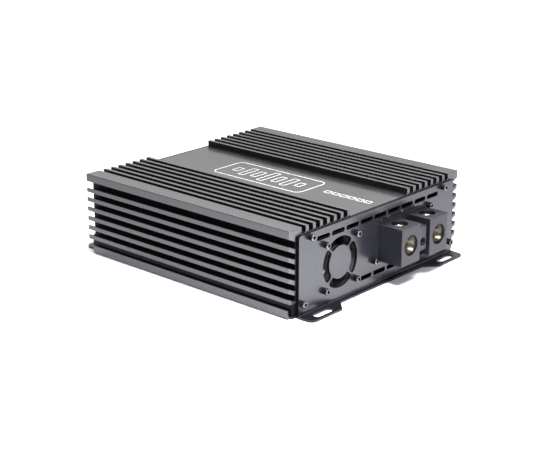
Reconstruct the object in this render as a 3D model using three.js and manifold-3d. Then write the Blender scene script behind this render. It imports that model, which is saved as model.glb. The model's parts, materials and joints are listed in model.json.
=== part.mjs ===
// Car amplifier: a finned aluminium case with a cooling fan and power terminals at one end.
// Millimetres. +X points to the power end, +Z up; the feet stand on z = 0.
import * as THREE from "three";
import { mergeVertices } from "three/addons/utils/BufferGeometryUtils.js";
import Module from "manifold-3d";

const wasm = await Module();
wasm.setup();

// ---- Driving dimensions -------------------------------------------------------------------

const GAP = 0.3; // clearance between pieces that touch

const CASE_LENGTH = 242;
const CASE_WIDTH = 232;
const CASE_TOP = 76;
const END = CASE_LENGTH / 2; // end faces of the heatsink, either side of the middle
const SIDE = CASE_WIDTH / 2;

const TOP_FIN = { count: 7, first: 39.5, pitch: 8.75, thick: 3.5, floor: 70.3 };
const SIDE_FIN = { count: 6, first: 61.3, pitch: 8.9, thick: 4, depth: 8, slant: 26 };
const LAND = { inner: 100.6, lower: 69.3 }; // wide corner bar above the side fins
const WALL = { ceiling: 65, inner: 103, foot: 2.3, footOuter: 111.2, footInner: 96.6 };

const COVER = { half: 118, side: 114, low: 0.3, high: 7.6, thick: 1.6 };

const PLATE = { thick: 2, half: 106.8, top: 70.2, corner: 3, bend: 1 };
const PLATE_IN = END + GAP; // inner face of an end plate
const PLATE_OUT = PLATE_IN + PLATE.thick;
const LIP_X = PLATE_OUT + 4;
const TAB = { tip: 138, inner: 58, corner: 7, slotX: 131.3, slotY: 85.5, slotLong: 21.5, slotWide: 6.8 };

const VENT = { pitch: 18.8, long: 15.8, high: 3.4, middle: -1.2, topZ: 62.3, lowZ: 12 };

const SCREW = { head: 2.75, tall: 4.4, shank: 1.3, hex: 1.45, hexDeep: 1.7, bore: 1.6 };
const CORNER_SCREWS = [
  [-93, 66.6],
  [89.2, 66.6],
  [-103, 12.4],
  [101.2, 12],
];

const FAN = { y: -54.5, z: 35, size: 50, deep: 15, hole: 20, bore: 24, hub: 13, blade: 23, blades: 7 };
const FAN_BACK = END - FAN.deep;
const GRILLE = { outer: 21.9, inner: 14.7, spoke: 2.2 };

const POWER = { y: 29.3, z: 38.25, apart: 40, wide: 26, high: 33.3, back: 108.5, front: 148.4 };
const CABLE = { bore: 7.75, mouth: 9.3, end: 126, chamfer: 1.6 };
const SET_SCREW = { hole: 7, radius: 6.6, tall: 8, sunk: 2.6, x: 135.7, hex: 3.46 };
const REMOTE = { wide: 10, low: 28.2, high: 50, front: 146.2, bore: 3.2, x: 138, screw: 2.3, z: 36 };
const REMOTE_SCREW = { tall: 7, sunk: 1, hex: 1.2 };
const WINDOW = { side: 14.5 + POWER.apart / 2, low: 20, high: 56.5 };
const BASE_SCREWS = [
  [-9.6, 23.6],
  [67.8, 54.9],
];

const BOARD = { x0: -104, x1: 102, side: 94, low: 8.3, thick: 1.6 };
const BOARD_TOP = BOARD.low + BOARD.thick + GAP; // where parts on the board start
const POST = { y: 80, radius: 3, inset: 8 }; // pressed posts under the board's corners and middle

const INSULATOR = { back: 110, margin: 9, rise: 2, holeEnd: 110.5 };
const BUSBAR = { half: 10, thick: 2.5, foot: 22, rise: 10 };
const BLADE = { chord: 10.5, thick: 1.1, crown: 1.2, camber: 4.8, pitch: 38 };
const STATOR = { radius: 10.3, bore: 3.5, end: 9.5 };

const INPUT_CAPACITOR = { x: 68, y: [-4, 17, 38], radius: 9, tall: 40 };
const RAIL_CAPACITOR = { x: -20, y: [-20, 20], radius: 15, tall: 45 };
const TRANSFORMER = { x: 28, y: [-48, 48], outer: 24, inner: 9, tall: 26 };
const INDUCTOR = { x: -62, y: 0, outer: 22, inner: 8, tall: 28 };
const TRANSISTOR = { x: [-56, 0, 56], half: 8, thick: 5, low: 26, high: 47 };
const LEG = { places: [-5.4, 0, 5.4], half: 0.6, top: 27, bend: 23, thick: 1, reach: 12 };
const CLAMP = { half: 84, thick: 4, low: 34, high: 42 };

const SIGNAL_BOARD = { x: -109, thick: 1.6, y0: -34, y1: 92, low: 16, high: 58 };
const POT_HALF = 5;
const JACK_BASE = { half: 7, out: 118.2 };
const SWITCH_BODY = { wide: 6, high: 3, out: 116 };

const KNOB = { radius: 4.4, z: 40, y: [28, 10, -8, -26], out: 125.3, into: 117.3 };
const JACK = { y: [82, 64], z: 40, flange: 6, shell: 4.15, bore: 3.3, contact: 1.7, into: 118.5, out: 132.5 };
const PORT = { y: 45.5, z: 40, wide: 14, high: 13, cavityWide: 11, cavityHigh: 8, deep: 11 };
const SWITCH = { y: 10, z: 24, wide: 3, high: 2.6, travel: 4, out: 125.5 };
const LIGHT = { y: 45.5, z: 54, radius: 1.5 };
const SPEAKER = { y: -70, wide: 44, low: 18, high: 42, out: 136, entry: 12, entryLow: 22, entryHigh: 34 };
const SPEAKER_SCREW = { apart: 20, x: 129.5, hole: 4, radius: 3.6, tall: 7, sunk: 1.2, hex: 1.9 };

// The terminals reach further out than the feet, so the whole is moved to centre its outline.
const SHIFT = (POWER.front - TAB.tip) / 2;

// ---- Colours ------------------------------------------------------------------------------

const paint = (color, roughness, metalness) =>
  new THREE.MeshStandardMaterial({ color, roughness, metalness });
const ANODISED = paint(0x3c3d40, 0.45, 0.9);
const PLATE_BLACK = paint(0x4a4b50, 0.5, 0.6);
const SCREW_BLACK = paint(0x1a1a1c, 0.35, 0.8);
const TERMINAL = paint(0x34353a, 0.4, 0.8);
const STEEL = paint(0xb9bbbe, 0.3, 1);
const BRASS = paint(0xc9b477, 0.3, 1);
const COPPER = paint(0xb8704a, 0.35, 1);
const PLASTIC = paint(0x17181b, 0.6, 0);
const GREEN = paint(0x1d4a33, 0.55, 0);
const SLEEVE = paint(0x1c2430, 0.35, 0);
const FERRITE = paint(0x8c5a34, 0.5, 0.3);
const LENS = paint(0x3d7fd0, 0.2, 0);

// ---- Shape helpers ------------------------------------------------------------------------

const X = new THREE.Vector3(1, 0, 0);
const Y = new THREE.Vector3(0, 1, 0);
const Z = new THREE.Vector3(0, 0, 1);

// A three.js geometry as a manifold solid, so it can be cut and joined.
function solid(geometry) {
  const bare = geometry.clone();
  bare.deleteAttribute("normal");
  bare.deleteAttribute("uv");
  const merged = mergeVertices(bare, 1e-4);
  return new wasm.Manifold(
    new wasm.Mesh({
      numProp: 3,
      vertProperties: merged.attributes.position.array,
      triVerts: new Uint32Array(merged.index.array),
    }),
  );
}

// A manifold solid as a flat-shaded three.js geometry.
function surface(body) {
  const mesh = body.getMesh();
  const geometry = new THREE.BufferGeometry();
  geometry.setAttribute("position", new THREE.BufferAttribute(mesh.vertProperties, 3));
  geometry.setIndex(new THREE.BufferAttribute(mesh.triVerts, 1));
  const flat = geometry.toNonIndexed();
  flat.computeVertexNormals();
  return flat;
}

const outline = (points) => new THREE.Shape(points.map(([u, v]) => new THREE.Vector2(u, v)));

function extrude(shape, length) {
  return new THREE.ExtrudeGeometry(shape, { depth: length, bevelEnabled: false, curveSegments: 3 });
}

// A (y, z) outline carried along X from x0 to x1.
function alongX(shape, x0, x1) {
  const turn = new THREE.Matrix4().makeBasis(Y, Z, X).setPosition(x0, 0, 0);
  return solid(extrude(shape, x1 - x0).applyMatrix4(turn));
}

// An (x, z) outline carried along Y from y0 to y1.
function alongY(shape, y0, y1) {
  const turn = new THREE.Matrix4().makeBasis(X, Z, Y.clone().negate()).setPosition(0, y1, 0);
  return solid(extrude(shape, y1 - y0).applyMatrix4(turn));
}

// An (x, y) outline carried along Z from z0 to z1.
function alongZ(shape, z0, z1) {
  return solid(extrude(shape, z1 - z0).translate(0, 0, z0));
}

function block(x0, x1, y0, y1, z0, z1) {
  const geometry = new THREE.BoxGeometry(x1 - x0, y1 - y0, z1 - z0);
  return solid(geometry.translate((x0 + x1) / 2, (y0 + y1) / 2, (z0 + z1) / 2));
}

// A regular polygon: a circle with enough sides, a hexagon with six.
function round(u, v, radius, sides) {
  const points = [];
  for (let i = 0; i < sides; i++) {
    const angle = (2 * Math.PI * (i + 0.5)) / sides;
    points.push([u + radius * Math.cos(angle), v + radius * Math.sin(angle)]);
  }
  return outline(points);
}

const rodX = (y, z, radius, x0, x1, sides = 20) => alongX(round(y, z, radius, sides), x0, x1);
const rodZ = (x, y, radius, z0, z1, sides = 20) => alongZ(round(x, y, radius, sides), z0, z1);

// A slot with round ends, its length along u.
function slotShape(u, v, long, wide) {
  const r = wide / 2;
  const reach = long / 2 - r;
  const shape = new THREE.Shape();
  shape.moveTo(u - reach, v - r);
  shape.lineTo(u + reach, v - r);
  shape.absarc(u + reach, v, r, -Math.PI / 2, Math.PI / 2, false);
  shape.lineTo(u - reach, v + r);
  shape.absarc(u - reach, v, r, Math.PI / 2, Math.PI * 1.5, false);
  return shape;
}

// A ring or cone about Z, from [radius, z] corners that close on themselves or on the axis.
function turned(corners, sides = 24) {
  const profile = corners.map(([r, z]) => new THREE.Vector2(r, z));
  const geometry = new THREE.LatheGeometry(profile, sides);
  const upright = new THREE.Matrix4().makeBasis(X, Z, Y.clone().negate());
  return solid(geometry.applyMatrix4(upright));
}

const join = (pieces) => pieces.reduce((all, piece) => all.add(piece));
const cut = (body, tools) => tools.reduce((left, tool) => left.subtract(tool), body);

const amplifier = new THREE.Group();
const assembly = new THREE.Group();
assembly.position.x = -SHIFT;
amplifier.add(assembly);

function add(name, body, material) {
  const mesh = new THREE.Mesh(surface(body), material);
  mesh.name = name;
  assembly.add(mesh);
}

// The power end is +X; the signal end is the same shapes turned to face -X.
const facing = (body, way) => (way > 0 ? body : body.mirror([1, 0, 0]));

// ---- Case ---------------------------------------------------------------------------------

// Half of the heatsink's section, on the +Y side: over the top fins, down the side fins, back up inside.
function heatsinkHalf() {
  const drop = Math.tan(THREE.MathUtils.degToRad(SIDE_FIN.slant));
  const web = SIDE - SIDE_FIN.depth;
  const half = SIDE_FIN.thick / 2;
  const points = [];
  for (let k = 0; k < TOP_FIN.count; k++) {
    const y = TOP_FIN.first + k * TOP_FIN.pitch;
    points.push([y, TOP_FIN.floor], [y, CASE_TOP]);
    points.push([y + TOP_FIN.thick, CASE_TOP], [y + TOP_FIN.thick, TOP_FIN.floor]);
  }
  points.push([LAND.inner, TOP_FIN.floor], [LAND.inner, CASE_TOP], [SIDE, CASE_TOP]);
  points.push([SIDE, LAND.lower], [web, LAND.lower - SIDE_FIN.depth * drop]);
  for (let k = 0; k < SIDE_FIN.count; k++) {
    const tip = SIDE_FIN.first - k * SIDE_FIN.pitch;
    const last = k === SIDE_FIN.count - 1;
    const rootY = last ? WALL.footOuter : web;
    points.push([web, tip + half - SIDE_FIN.depth * drop]);
    points.push([SIDE, tip + half], [SIDE, tip - half]);
    points.push([rootY, tip - half - (SIDE - rootY) * drop]);
  }
  points.push([WALL.footOuter, WALL.foot], [WALL.footInner, WALL.foot]);
  points.push([WALL.footInner, 16], [WALL.inner, 22], [WALL.inner, 60]);
  points.push([98, WALL.ceiling], [96.5, WALL.ceiling], [96.5, 62], [86.5, 62], [86.5, WALL.ceiling]);
  return points;
}

function heatsink() {
  const right = heatsinkHalf();
  const left = right.map(([y, z]) => [-y, z]).reverse();
  const bar = alongX(outline([...right, ...left]), -END, END);
  const holes = [];
  for (const [y, z] of CORNER_SCREWS) {
    holes.push(rodX(y, z, SCREW.bore, END - 11, END + 1, 12));
    holes.push(rodX(y, z, SCREW.bore, -END - 1, 11 - END, 12));
  }
  return cut(bar, holes);
}

// A shallow tray, with pressed posts that carry the main board.
function bottomCover() {
  const { side, low, high, thick } = COVER;
  const tray = outline([
    [-side, high],
    [-side, low + 1],
    [1 - side, low],
    [side - 1, low],
    [side, low + 1],
    [side, high],
    [side - thick, high],
    [side - thick, low + thick],
    [thick - side, low + thick],
    [thick - side, high],
  ]);
  const pieces = [alongX(tray, -COVER.half, COVER.half)];
  for (const x of [BOARD.x0 + POST.inset, 0, BOARD.x1 - POST.inset]) {
    for (const y of [-POST.y, POST.y]) {
      pieces.push(rodZ(x, y, POST.radius, low + thick - 0.5, BOARD.low - GAP, 12));
    }
  }
  return join(pieces);
}

// ---- End plates ---------------------------------------------------------------------------

// The upright part of a plate, from the bend up, with rounded top corners.
function plateFace() {
  const { half, top, corner } = PLATE;
  const shape = new THREE.Shape();
  shape.moveTo(-half, PLATE.bend + PLATE.thick);
  shape.lineTo(half, PLATE.bend + PLATE.thick);
  shape.lineTo(half, top - corner);
  shape.absarc(half - corner, top - corner, corner, 0, Math.PI / 2, false);
  shape.lineTo(corner - half, top);
  shape.absarc(corner - half, top - corner, corner, Math.PI / 2, Math.PI, false);
  return alongX(shape, PLATE_IN, PLATE_OUT);
}

// The quarter-round bend between the upright part and the foot.
function plateBend() {
  const inner = PLATE.bend;
  const outer = PLATE.bend + PLATE.thick;
  const x = PLATE_OUT + inner;
  const shape = new THREE.Shape();
  shape.absarc(x, outer, outer, Math.PI, Math.PI * 1.5, false);
  shape.absarc(x, outer, inner, Math.PI * 1.5, Math.PI, true);
  return alongY(shape, -PLATE.half, PLATE.half);
}

// The foot: a narrow lip with a slotted tab at each corner.
function plateFoot() {
  const x0 = PLATE_OUT + PLATE.bend;
  const tab = [
    [LIP_X, TAB.inner],
    [TAB.tip - 1.5, TAB.inner + TAB.tip - LIP_X - 1.5],
    [TAB.tip, TAB.inner + TAB.tip - LIP_X + 2],
    [TAB.tip, PLATE.half - TAB.corner],
    [TAB.tip - 1.5, PLATE.half - TAB.corner + 3],
    [TAB.tip - TAB.corner + 1, PLATE.half - 1],
    [TAB.tip - TAB.corner - 1, PLATE.half],
    [x0, PLATE.half],
  ];
  const mirrored = tab.map(([x, y]) => [x, -y]).reverse();
  const foot = alongZ(outline([...mirrored, ...tab]), 0, PLATE.thick);
  const slots = [-1, 1].map((way) => {
    const slot = slotShape(way * TAB.slotY, 0, TAB.slotLong, TAB.slotWide);
    const turn = new THREE.Matrix4().makeBasis(Y, X.clone().negate(), Z).setPosition(TAB.slotX, 0, -1);
    return solid(extrude(slot, PLATE.thick + 2).applyMatrix4(turn));
  });
  return cut(foot, slots);
}

function blankPlate() {
  return join([plateFace(), plateBend(), plateFoot()]);
}

const through = (shape) => alongX(shape, PLATE_IN - 1, PLATE_OUT + 1);

// A row of vent slots, at whole multiples of the pitch from the middle slot.
function vents(first, last, z) {
  const tools = [];
  for (let k = first; k <= last; k++) {
    tools.push(through(slotShape(VENT.middle + k * VENT.pitch, z, VENT.long, VENT.high)));
  }
  return tools;
}

const screwHoles = (places) => places.map(([y, z]) => through(round(y, z, SCREW.bore, 12)));

const FAN_SCREWS = [
  [-1, 1],
  [1, 1],
  [-1, -1],
  [1, -1],
].map(([a, b]) => [FAN.y + a * FAN.hole, FAN.z + b * FAN.hole]);

// The guard over the fan: a ring of air broken by four diagonal spokes.
function fanGrille() {
  const { outer, inner, spoke } = GRILLE;
  const ring = through(round(FAN.y, FAN.z, outer, 40)).subtract(through(round(FAN.y, FAN.z, inner, 32)));
  const bars = [45, 135].map((angle) => {
    const bar = new THREE.BoxGeometry(PLATE.thick + 4, 2 * outer + 4, spoke);
    bar.rotateX(THREE.MathUtils.degToRad(angle));
    return solid(bar.translate(PLATE_IN + PLATE.thick / 2, FAN.y, FAN.z));
  });
  return cut(ring, bars);
}

function powerPlate() {
  return cut(blankPlate(), [
    ...vents(-4, 4, VENT.topZ),
    ...vents(-1, 4, VENT.lowZ),
    fanGrille(),
    ...screwHoles([...CORNER_SCREWS, ...FAN_SCREWS, ...BASE_SCREWS]),
    block(PLATE_IN - 1, PLATE_OUT + 1, POWER.y - WINDOW.side, POWER.y + WINDOW.side, WINDOW.low, WINDOW.high),
  ]);
}

function signalPlate() {
  const rectangle = (y, z, wide, high) =>
    block(PLATE_IN - 1, PLATE_OUT + 1, y - wide / 2, y + wide / 2, z - high / 2, z + high / 2);
  const speakerZ = (SPEAKER.low + SPEAKER.high) / 2;
  const plate = cut(blankPlate(), [
    ...vents(-4, 4, VENT.topZ),
    ...vents(-4, 4, VENT.lowZ),
    ...screwHoles(CORNER_SCREWS),
    ...KNOB.y.map((y) => through(round(y, KNOB.z, KNOB.radius + 0.6, 20))),
    ...JACK.y.map((y) => through(round(y, JACK.z, JACK.flange + GAP, 20))),
    rectangle(PORT.y, PORT.z, PORT.wide + 2 * GAP, PORT.high + 2 * GAP),
    rectangle(SWITCH.y, SWITCH.z, SWITCH.wide + SWITCH.travel + 1, SWITCH.high + 0.8),
    through(round(LIGHT.y, LIGHT.z, LIGHT.radius + GAP, 12)),
    rectangle(SPEAKER.y, speakerZ, SPEAKER.wide + 2 * GAP, SPEAKER.high - SPEAKER.low + 2 * GAP),
  ]);
  return facing(plate, -1);
}

// ---- Fasteners ----------------------------------------------------------------------------

// A socket-head screw whose head stands on an end plate, facing out.
function capScrew(y, z, length) {
  const seat = PLATE_OUT + 0.1;
  const head = rodX(y, z, SCREW.head, seat, seat + SCREW.tall, 18);
  const shank = rodX(y, z, SCREW.shank, seat - length, seat + 1, 10);
  const socket = rodX(y, z, SCREW.hex, seat + SCREW.tall - SCREW.hexDeep, seat + SCREW.tall + 1, 6);
  return head.add(shank).subtract(socket);
}

// A headless set screw about Z, with a chamfered rim, a hex socket and its top at z.
function setScrew(x, y, z, radius, tall, hex) {
  const body = turned([
    [0, z - tall],
    [radius - 0.8, z - tall],
    [radius, z - tall + 0.8],
    [radius, z - 0.6],
    [radius - 0.6, z],
    [0, z],
  ]).translate([x, y, 0]);
  return body.subtract(rodZ(x, y, hex, z - tall * 0.55, z + 1, 6));
}

// ---- Power terminals ----------------------------------------------------------------------

const POWER_SIDES = { negative: POWER.y - POWER.apart / 2, positive: POWER.y + POWER.apart / 2 };
const POWER_LOW = POWER.z - POWER.high / 2;
const POWER_HIGH = POWER.z + POWER.high / 2;

// A solid block with a chamfered cable bore in front and a set-screw hole in its top.
function powerTerminal(y) {
  const half = POWER.wide / 2;
  const body = block(POWER.back, POWER.front, y - half, y + half, POWER_LOW, POWER_HIGH);
  const bore = turned(
    [
      [0, CABLE.end],
      [CABLE.bore, CABLE.end],
      [CABLE.bore, POWER.front - CABLE.chamfer],
      [CABLE.mouth, POWER.front],
      [CABLE.mouth, POWER.front + 1],
      [0, POWER.front + 1],
    ],
    28,
  );
  const level = bore.rotate([0, 90, 0]).translate([0, y, POWER.z]);
  return cut(body, [level, rodZ(SET_SCREW.x, y, SET_SCREW.hole, POWER.z, POWER_HIGH + 1, 24)]);
}

function remoteTerminal() {
  const half = REMOTE.wide / 2;
  const body = block(POWER.back, REMOTE.front, POWER.y - half, POWER.y + half, REMOTE.low, REMOTE.high);
  return cut(body, [
    rodX(POWER.y, REMOTE.z, REMOTE.bore, CABLE.end, REMOTE.front + 1, 16),
    rodZ(REMOTE.x, POWER.y, REMOTE.screw + GAP, REMOTE.z, REMOTE.high + 1, 14),
  ]);
}

// The moulded base behind the plate, whose collar stands in the plate's window round the blocks.
function terminalInsulator() {
  const { back, margin, rise, holeEnd } = INSULATOR;
  const centred = (x0, x1, half, low, high) =>
    block(x0, x1, POWER.y - half, POWER.y + half, low, high);
  const base = centred(back, END, WINDOW.side + margin, WINDOW.low - rise, WINDOW.high + rise);
  const collar = centred(END - 1, PLATE_OUT + GAP, WINDOW.side - GAP, WINDOW.low + GAP, WINDOW.high - GAP);
  const tools = Object.values(POWER_SIDES).map((y) => {
    const half = POWER.wide / 2 + GAP;
    return block(back - 1, PLATE_OUT + 2, y - half, y + half, POWER_LOW - GAP, POWER_HIGH + GAP);
  });
  const remoteHalf = REMOTE.wide / 2 + GAP;
  tools.push(centred(back - 1, PLATE_OUT + 2, remoteHalf, REMOTE.low - GAP, REMOTE.high + GAP));
  tools.push(...BASE_SCREWS.map(([y, z]) => rodX(y, z, SCREW.bore, holeEnd, PLATE_OUT, 12)));
  return cut(base.add(collar), tools);
}

// A bent copper strap from the back of a terminal down to the main board.
function busbar(y) {
  const { half, thick, foot, rise } = BUSBAR;
  const x1 = POWER.back - GAP;
  const x0 = x1 - thick;
  const upright = block(x0, x1, y - half, y + half, BOARD_TOP, POWER.z + rise);
  return upright.add(block(x0 - foot, x1, y - half, y + half, BOARD_TOP, BOARD_TOP + thick));
}

// ---- Cooling fan --------------------------------------------------------------------------

function fanFrame() {
  const half = FAN.size / 2;
  const shroud = block(FAN_BACK, END, FAN.y - half, FAN.y + half, FAN.z - half, FAN.z + half);
  const holes = FAN_SCREWS.map(([y, z]) => rodX(y, z, SCREW.bore, FAN_BACK - 1, END + 1, 12));
  holes.push(rodX(FAN.y, FAN.z, FAN.bore, FAN_BACK - 1, END + 1, 40));
  const arms = [0, 90].map((angle) => {
    const arm = new THREE.BoxGeometry(2, 2 * FAN.bore + 0.6, 3);
    arm.rotateX(THREE.MathUtils.degToRad(angle + 20));
    return solid(arm.translate(FAN_BACK + 1, FAN.y, FAN.z));
  });
  const base = rodX(FAN.y, FAN.z, FAN.hub - 1, FAN_BACK, FAN_BACK + 2, 24);
  const tube = rodX(FAN.y, FAN.z, 3.2, FAN_BACK, FAN_BACK + 10, 16);
  const bearing = rodX(FAN.y, FAN.z, 1.9, FAN_BACK + 1.5, FAN_BACK + 11, 16);
  return join([cut(shroud, holes), ...arms, base, tube]).subtract(bearing);
}

function fanStator() {
  const coil = rodX(FAN.y, FAN.z, STATOR.radius, FAN_BACK + 2 + GAP, FAN_BACK + STATOR.end, 24);
  return coil.subtract(rodX(FAN.y, FAN.z, STATOR.bore, FAN_BACK, FAN_BACK + STATOR.end + 1, 16));
}

// One cambered blade, reaching out along +Z from the fan's axis.
function fanBlade() {
  const points = [];
  for (let i = 0; i <= 4; i++) {
    const t = i / 4 - 0.5;
    points.push([t * BLADE.chord, BLADE.crown - BLADE.camber * t * t]);
  }
  const under = points.map(([u, v]) => [u, v - BLADE.thick]).reverse();
  const blade = extrude(outline([...points, ...under]), FAN.blade - FAN.hub + 1);
  blade.rotateZ(THREE.MathUtils.degToRad(BLADE.pitch));
  return solid(blade.translate(0, 0, FAN.hub - 1));
}

function fanRotor() {
  const front = END - 1.5;
  const cup = rodX(FAN.y, FAN.z, FAN.hub, FAN_BACK + 2.6, front, 28);
  const well = rodX(FAN.y, FAN.z, FAN.hub - 1.5, FAN_BACK + 2, front - 1.5, 24);
  const shaft = rodX(FAN.y, FAN.z, 1.5, FAN_BACK + 2.6, front - 1, 12);
  const middle = (FAN_BACK + 2.6 + front) / 2;
  const blade = fanBlade();
  const blades = [];
  for (let i = 0; i < FAN.blades; i++) {
    blades.push(blade.rotate([(360 * i) / FAN.blades, 0, 0]).translate([middle, FAN.y, FAN.z]));
  }
  return join([cup.subtract(well), shaft, ...blades]);
}

// ---- Electronics --------------------------------------------------------------------------

function capacitor({ x, radius, tall }, y) {
  const z = BOARD_TOP;
  return turned(
    [
      [0, z],
      [radius, z],
      [radius, z + tall - 0.8],
      [radius - 0.8, z + tall],
      [0, z + tall],
    ],
    20,
  ).translate([x, y, 0]);
}

// A wound ring core lying flat on the board, with a rounded section.
function toroid({ x, outer, inner, tall }, y) {
  const edge = 3;
  const z = BOARD_TOP;
  return turned([
    [inner, z + edge],
    [inner + edge, z],
    [outer - edge, z],
    [outer, z + edge],
    [outer, z + tall - edge],
    [outer - edge, z + tall],
    [inner + edge, z + tall],
    [inner, z + tall - edge],
    [inner, z + edge],
  ]).translate([x, y, 0]);
}

const WALL_FACE = WALL.inner - GAP;

// A power transistor flat against the side wall, its legs bent down to the board.
function transistor(x, way) {
  const { half, thick, low, high } = TRANSISTOR;
  const outer = WALL_FACE - 2;
  const inner = WALL_FACE - LEG.reach;
  const parts = [block(x - half, x + half, WALL_FACE - thick, WALL_FACE, low, high)];
  for (const place of LEG.places) {
    const x0 = x + place - LEG.half;
    const x1 = x + place + LEG.half;
    parts.push(block(x0, x1, outer - LEG.thick, outer, LEG.bend - LEG.thick, LEG.top));
    parts.push(block(x0, x1, inner, outer, LEG.bend - LEG.thick, LEG.bend));
    parts.push(block(x0, x1, inner, inner + LEG.thick, BOARD_TOP, LEG.bend));
  }
  const body = join(parts);
  return way > 0 ? body : body.mirror([0, 1, 0]);
}

function clampBar(way) {
  const y = WALL_FACE - TRANSISTOR.thick - GAP;
  const bar = block(-CLAMP.half, CLAMP.half, y - CLAMP.thick, y, CLAMP.low, CLAMP.high);
  return way > 0 ? bar : bar.mirror([0, 1, 0]);
}

// The upright board behind the signal end, with its pots, switch body and jack bases soldered on.
function signalBoard() {
  const { x, thick, y0, y1, low, high } = SIGNAL_BOARD;
  const base = (out, y, z, wide, tall) => block(-out, x - 1, y - wide, y + wide, z - tall, z + tall);
  return join([
    block(x - thick, x, y0, y1, low, high),
    ...KNOB.y.map((y) => base(KNOB.into - GAP, y, KNOB.z, POT_HALF, POT_HALF)),
    ...JACK.y.map((y) => base(JACK_BASE.out, y, JACK.z, JACK_BASE.half, JACK_BASE.half)),
    base(SWITCH_BODY.out, SWITCH.y, SWITCH.z, SWITCH_BODY.wide, SWITCH_BODY.high),
  ]);
}

function jack(y) {
  const { z, flange, shell, bore, contact, into, out } = JACK;
  const body = rodX(y, z, shell, into, out).add(rodX(y, z, flange, into, PLATE_OUT + 0.8));
  const well = rodX(y, z, bore, into + 4, out + 1);
  const pin = rodX(y, z, contact, into + 3.5, out - 0.8, 12);
  return facing(body.subtract(well).add(pin), -1);
}

function remotePort() {
  const { y, z, wide, high, cavityWide, cavityHigh, deep } = PORT;
  const out = PLATE_OUT + 0.4;
  const shell = block(-out, -111, y - wide / 2, y + wide / 2, z - high / 2, z + high / 2);
  const cavity = block(
    -out - 1,
    deep - out,
    y - cavityWide / 2,
    y + cavityWide / 2,
    z - cavityHigh / 2,
    z + cavityHigh / 2,
  );
  return shell.subtract(cavity);
}

// A control knob with a screwdriver slot and a pointer notch in its face.
function knob(y) {
  const body = rodX(y, KNOB.z, KNOB.radius, -KNOB.out, -KNOB.into, 24);
  const slot = block(-KNOB.out - 1, 1.4 - KNOB.out, y - 3.2, y + 3.2, KNOB.z - 0.6, KNOB.z + 0.6);
  const notch = block(-KNOB.out - 1, 1.4 - KNOB.out, y - 0.5, y + 0.5, KNOB.z + 2.2, KNOB.z + 6);
  return cut(body, [slot, notch]);
}

function switchSlider() {
  const start = SWITCH.y - SWITCH.travel / 2;
  const half = SWITCH.wide / 2;
  return block(-SWITCH.out, -116.3, start - half, start + half, SWITCH.z - 1.3, SWITCH.z + 1.3);
}

function statusLight() {
  return turned(
    [
      [0, 112],
      [LIGHT.radius, 112],
      [LIGHT.radius, PLATE_OUT + 0.3],
      [LIGHT.radius * 0.6, PLATE_OUT + 0.9],
      [0, PLATE_OUT + 1.1],
    ],
    12,
  )
    .rotate([0, -90, 0])
    .translate([0, LIGHT.y, LIGHT.z]);
}

const SPEAKER_SIDES = [-1, 1].map((way) => SPEAKER.y + (way * SPEAKER_SCREW.apart) / 2);

// A moulded terminal with two wire entries in front and a clamp-screw hole above each.
function speakerTerminal() {
  const { y, wide, low, high, out, entry, entryLow, entryHigh } = SPEAKER;
  const body = block(-out, -108, y - wide / 2, y + wide / 2, low, high);
  const tools = SPEAKER_SIDES.flatMap((place) => [
    block(-out - 1, 22 - out, place - entry / 2, place + entry / 2, entryLow, entryHigh),
    rodZ(-SPEAKER_SCREW.x, place, SPEAKER_SCREW.hole, entryHigh - 1, high + 1, 18),
  ]);
  return cut(body, tools);
}

// ---- Assembly -----------------------------------------------------------------------------

add("heatsink", heatsink(), ANODISED);
add("bottom_cover", bottomCover(), ANODISED);
add("power_end_plate", powerPlate(), PLATE_BLACK);
add("signal_end_plate", signalPlate(), PLATE_BLACK);

CORNER_SCREWS.forEach(([y, z], i) => {
  add(`power_plate_screw_${i + 1}`, capScrew(y, z, 12), SCREW_BLACK);
  add(`signal_plate_screw_${i + 1}`, facing(capScrew(y, z, 12), -1), SCREW_BLACK);
});
FAN_SCREWS.forEach(([y, z], i) => add(`fan_screw_${i + 1}`, capScrew(y, z, 14), SCREW_BLACK));
BASE_SCREWS.forEach(([y, z], i) => add(`terminal_base_screw_${i + 1}`, capScrew(y, z, 10), SCREW_BLACK));

add("fan_frame", fanFrame(), PLASTIC);
add("fan_stator", fanStator(), COPPER);
add("fan_rotor", fanRotor(), PLASTIC);

for (const [pole, y] of Object.entries(POWER_SIDES)) {
  add(`${pole}_power_terminal`, powerTerminal(y), TERMINAL);
  add(
    `${pole}_set_screw`,
    setScrew(SET_SCREW.x, y, POWER_HIGH - SET_SCREW.sunk, SET_SCREW.radius, SET_SCREW.tall, SET_SCREW.hex),
    STEEL,
  );
  add(`${pole}_busbar`, busbar(y), COPPER);
}
add("remote_terminal", remoteTerminal(), TERMINAL);
const remoteTop = REMOTE.high - REMOTE_SCREW.sunk;
add(
  "remote_set_screw",
  setScrew(REMOTE.x, POWER.y, remoteTop, REMOTE.screw, REMOTE_SCREW.tall, REMOTE_SCREW.hex),
  STEEL,
);
add("terminal_insulator", terminalInsulator(), PLASTIC);

// Adds one piece for each place in a row, numbered from 1.
function addEach(name, places, shape, material) {
  places.forEach((place, i) => add(`${name}_${i + 1}`, shape(place), material));
}

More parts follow.
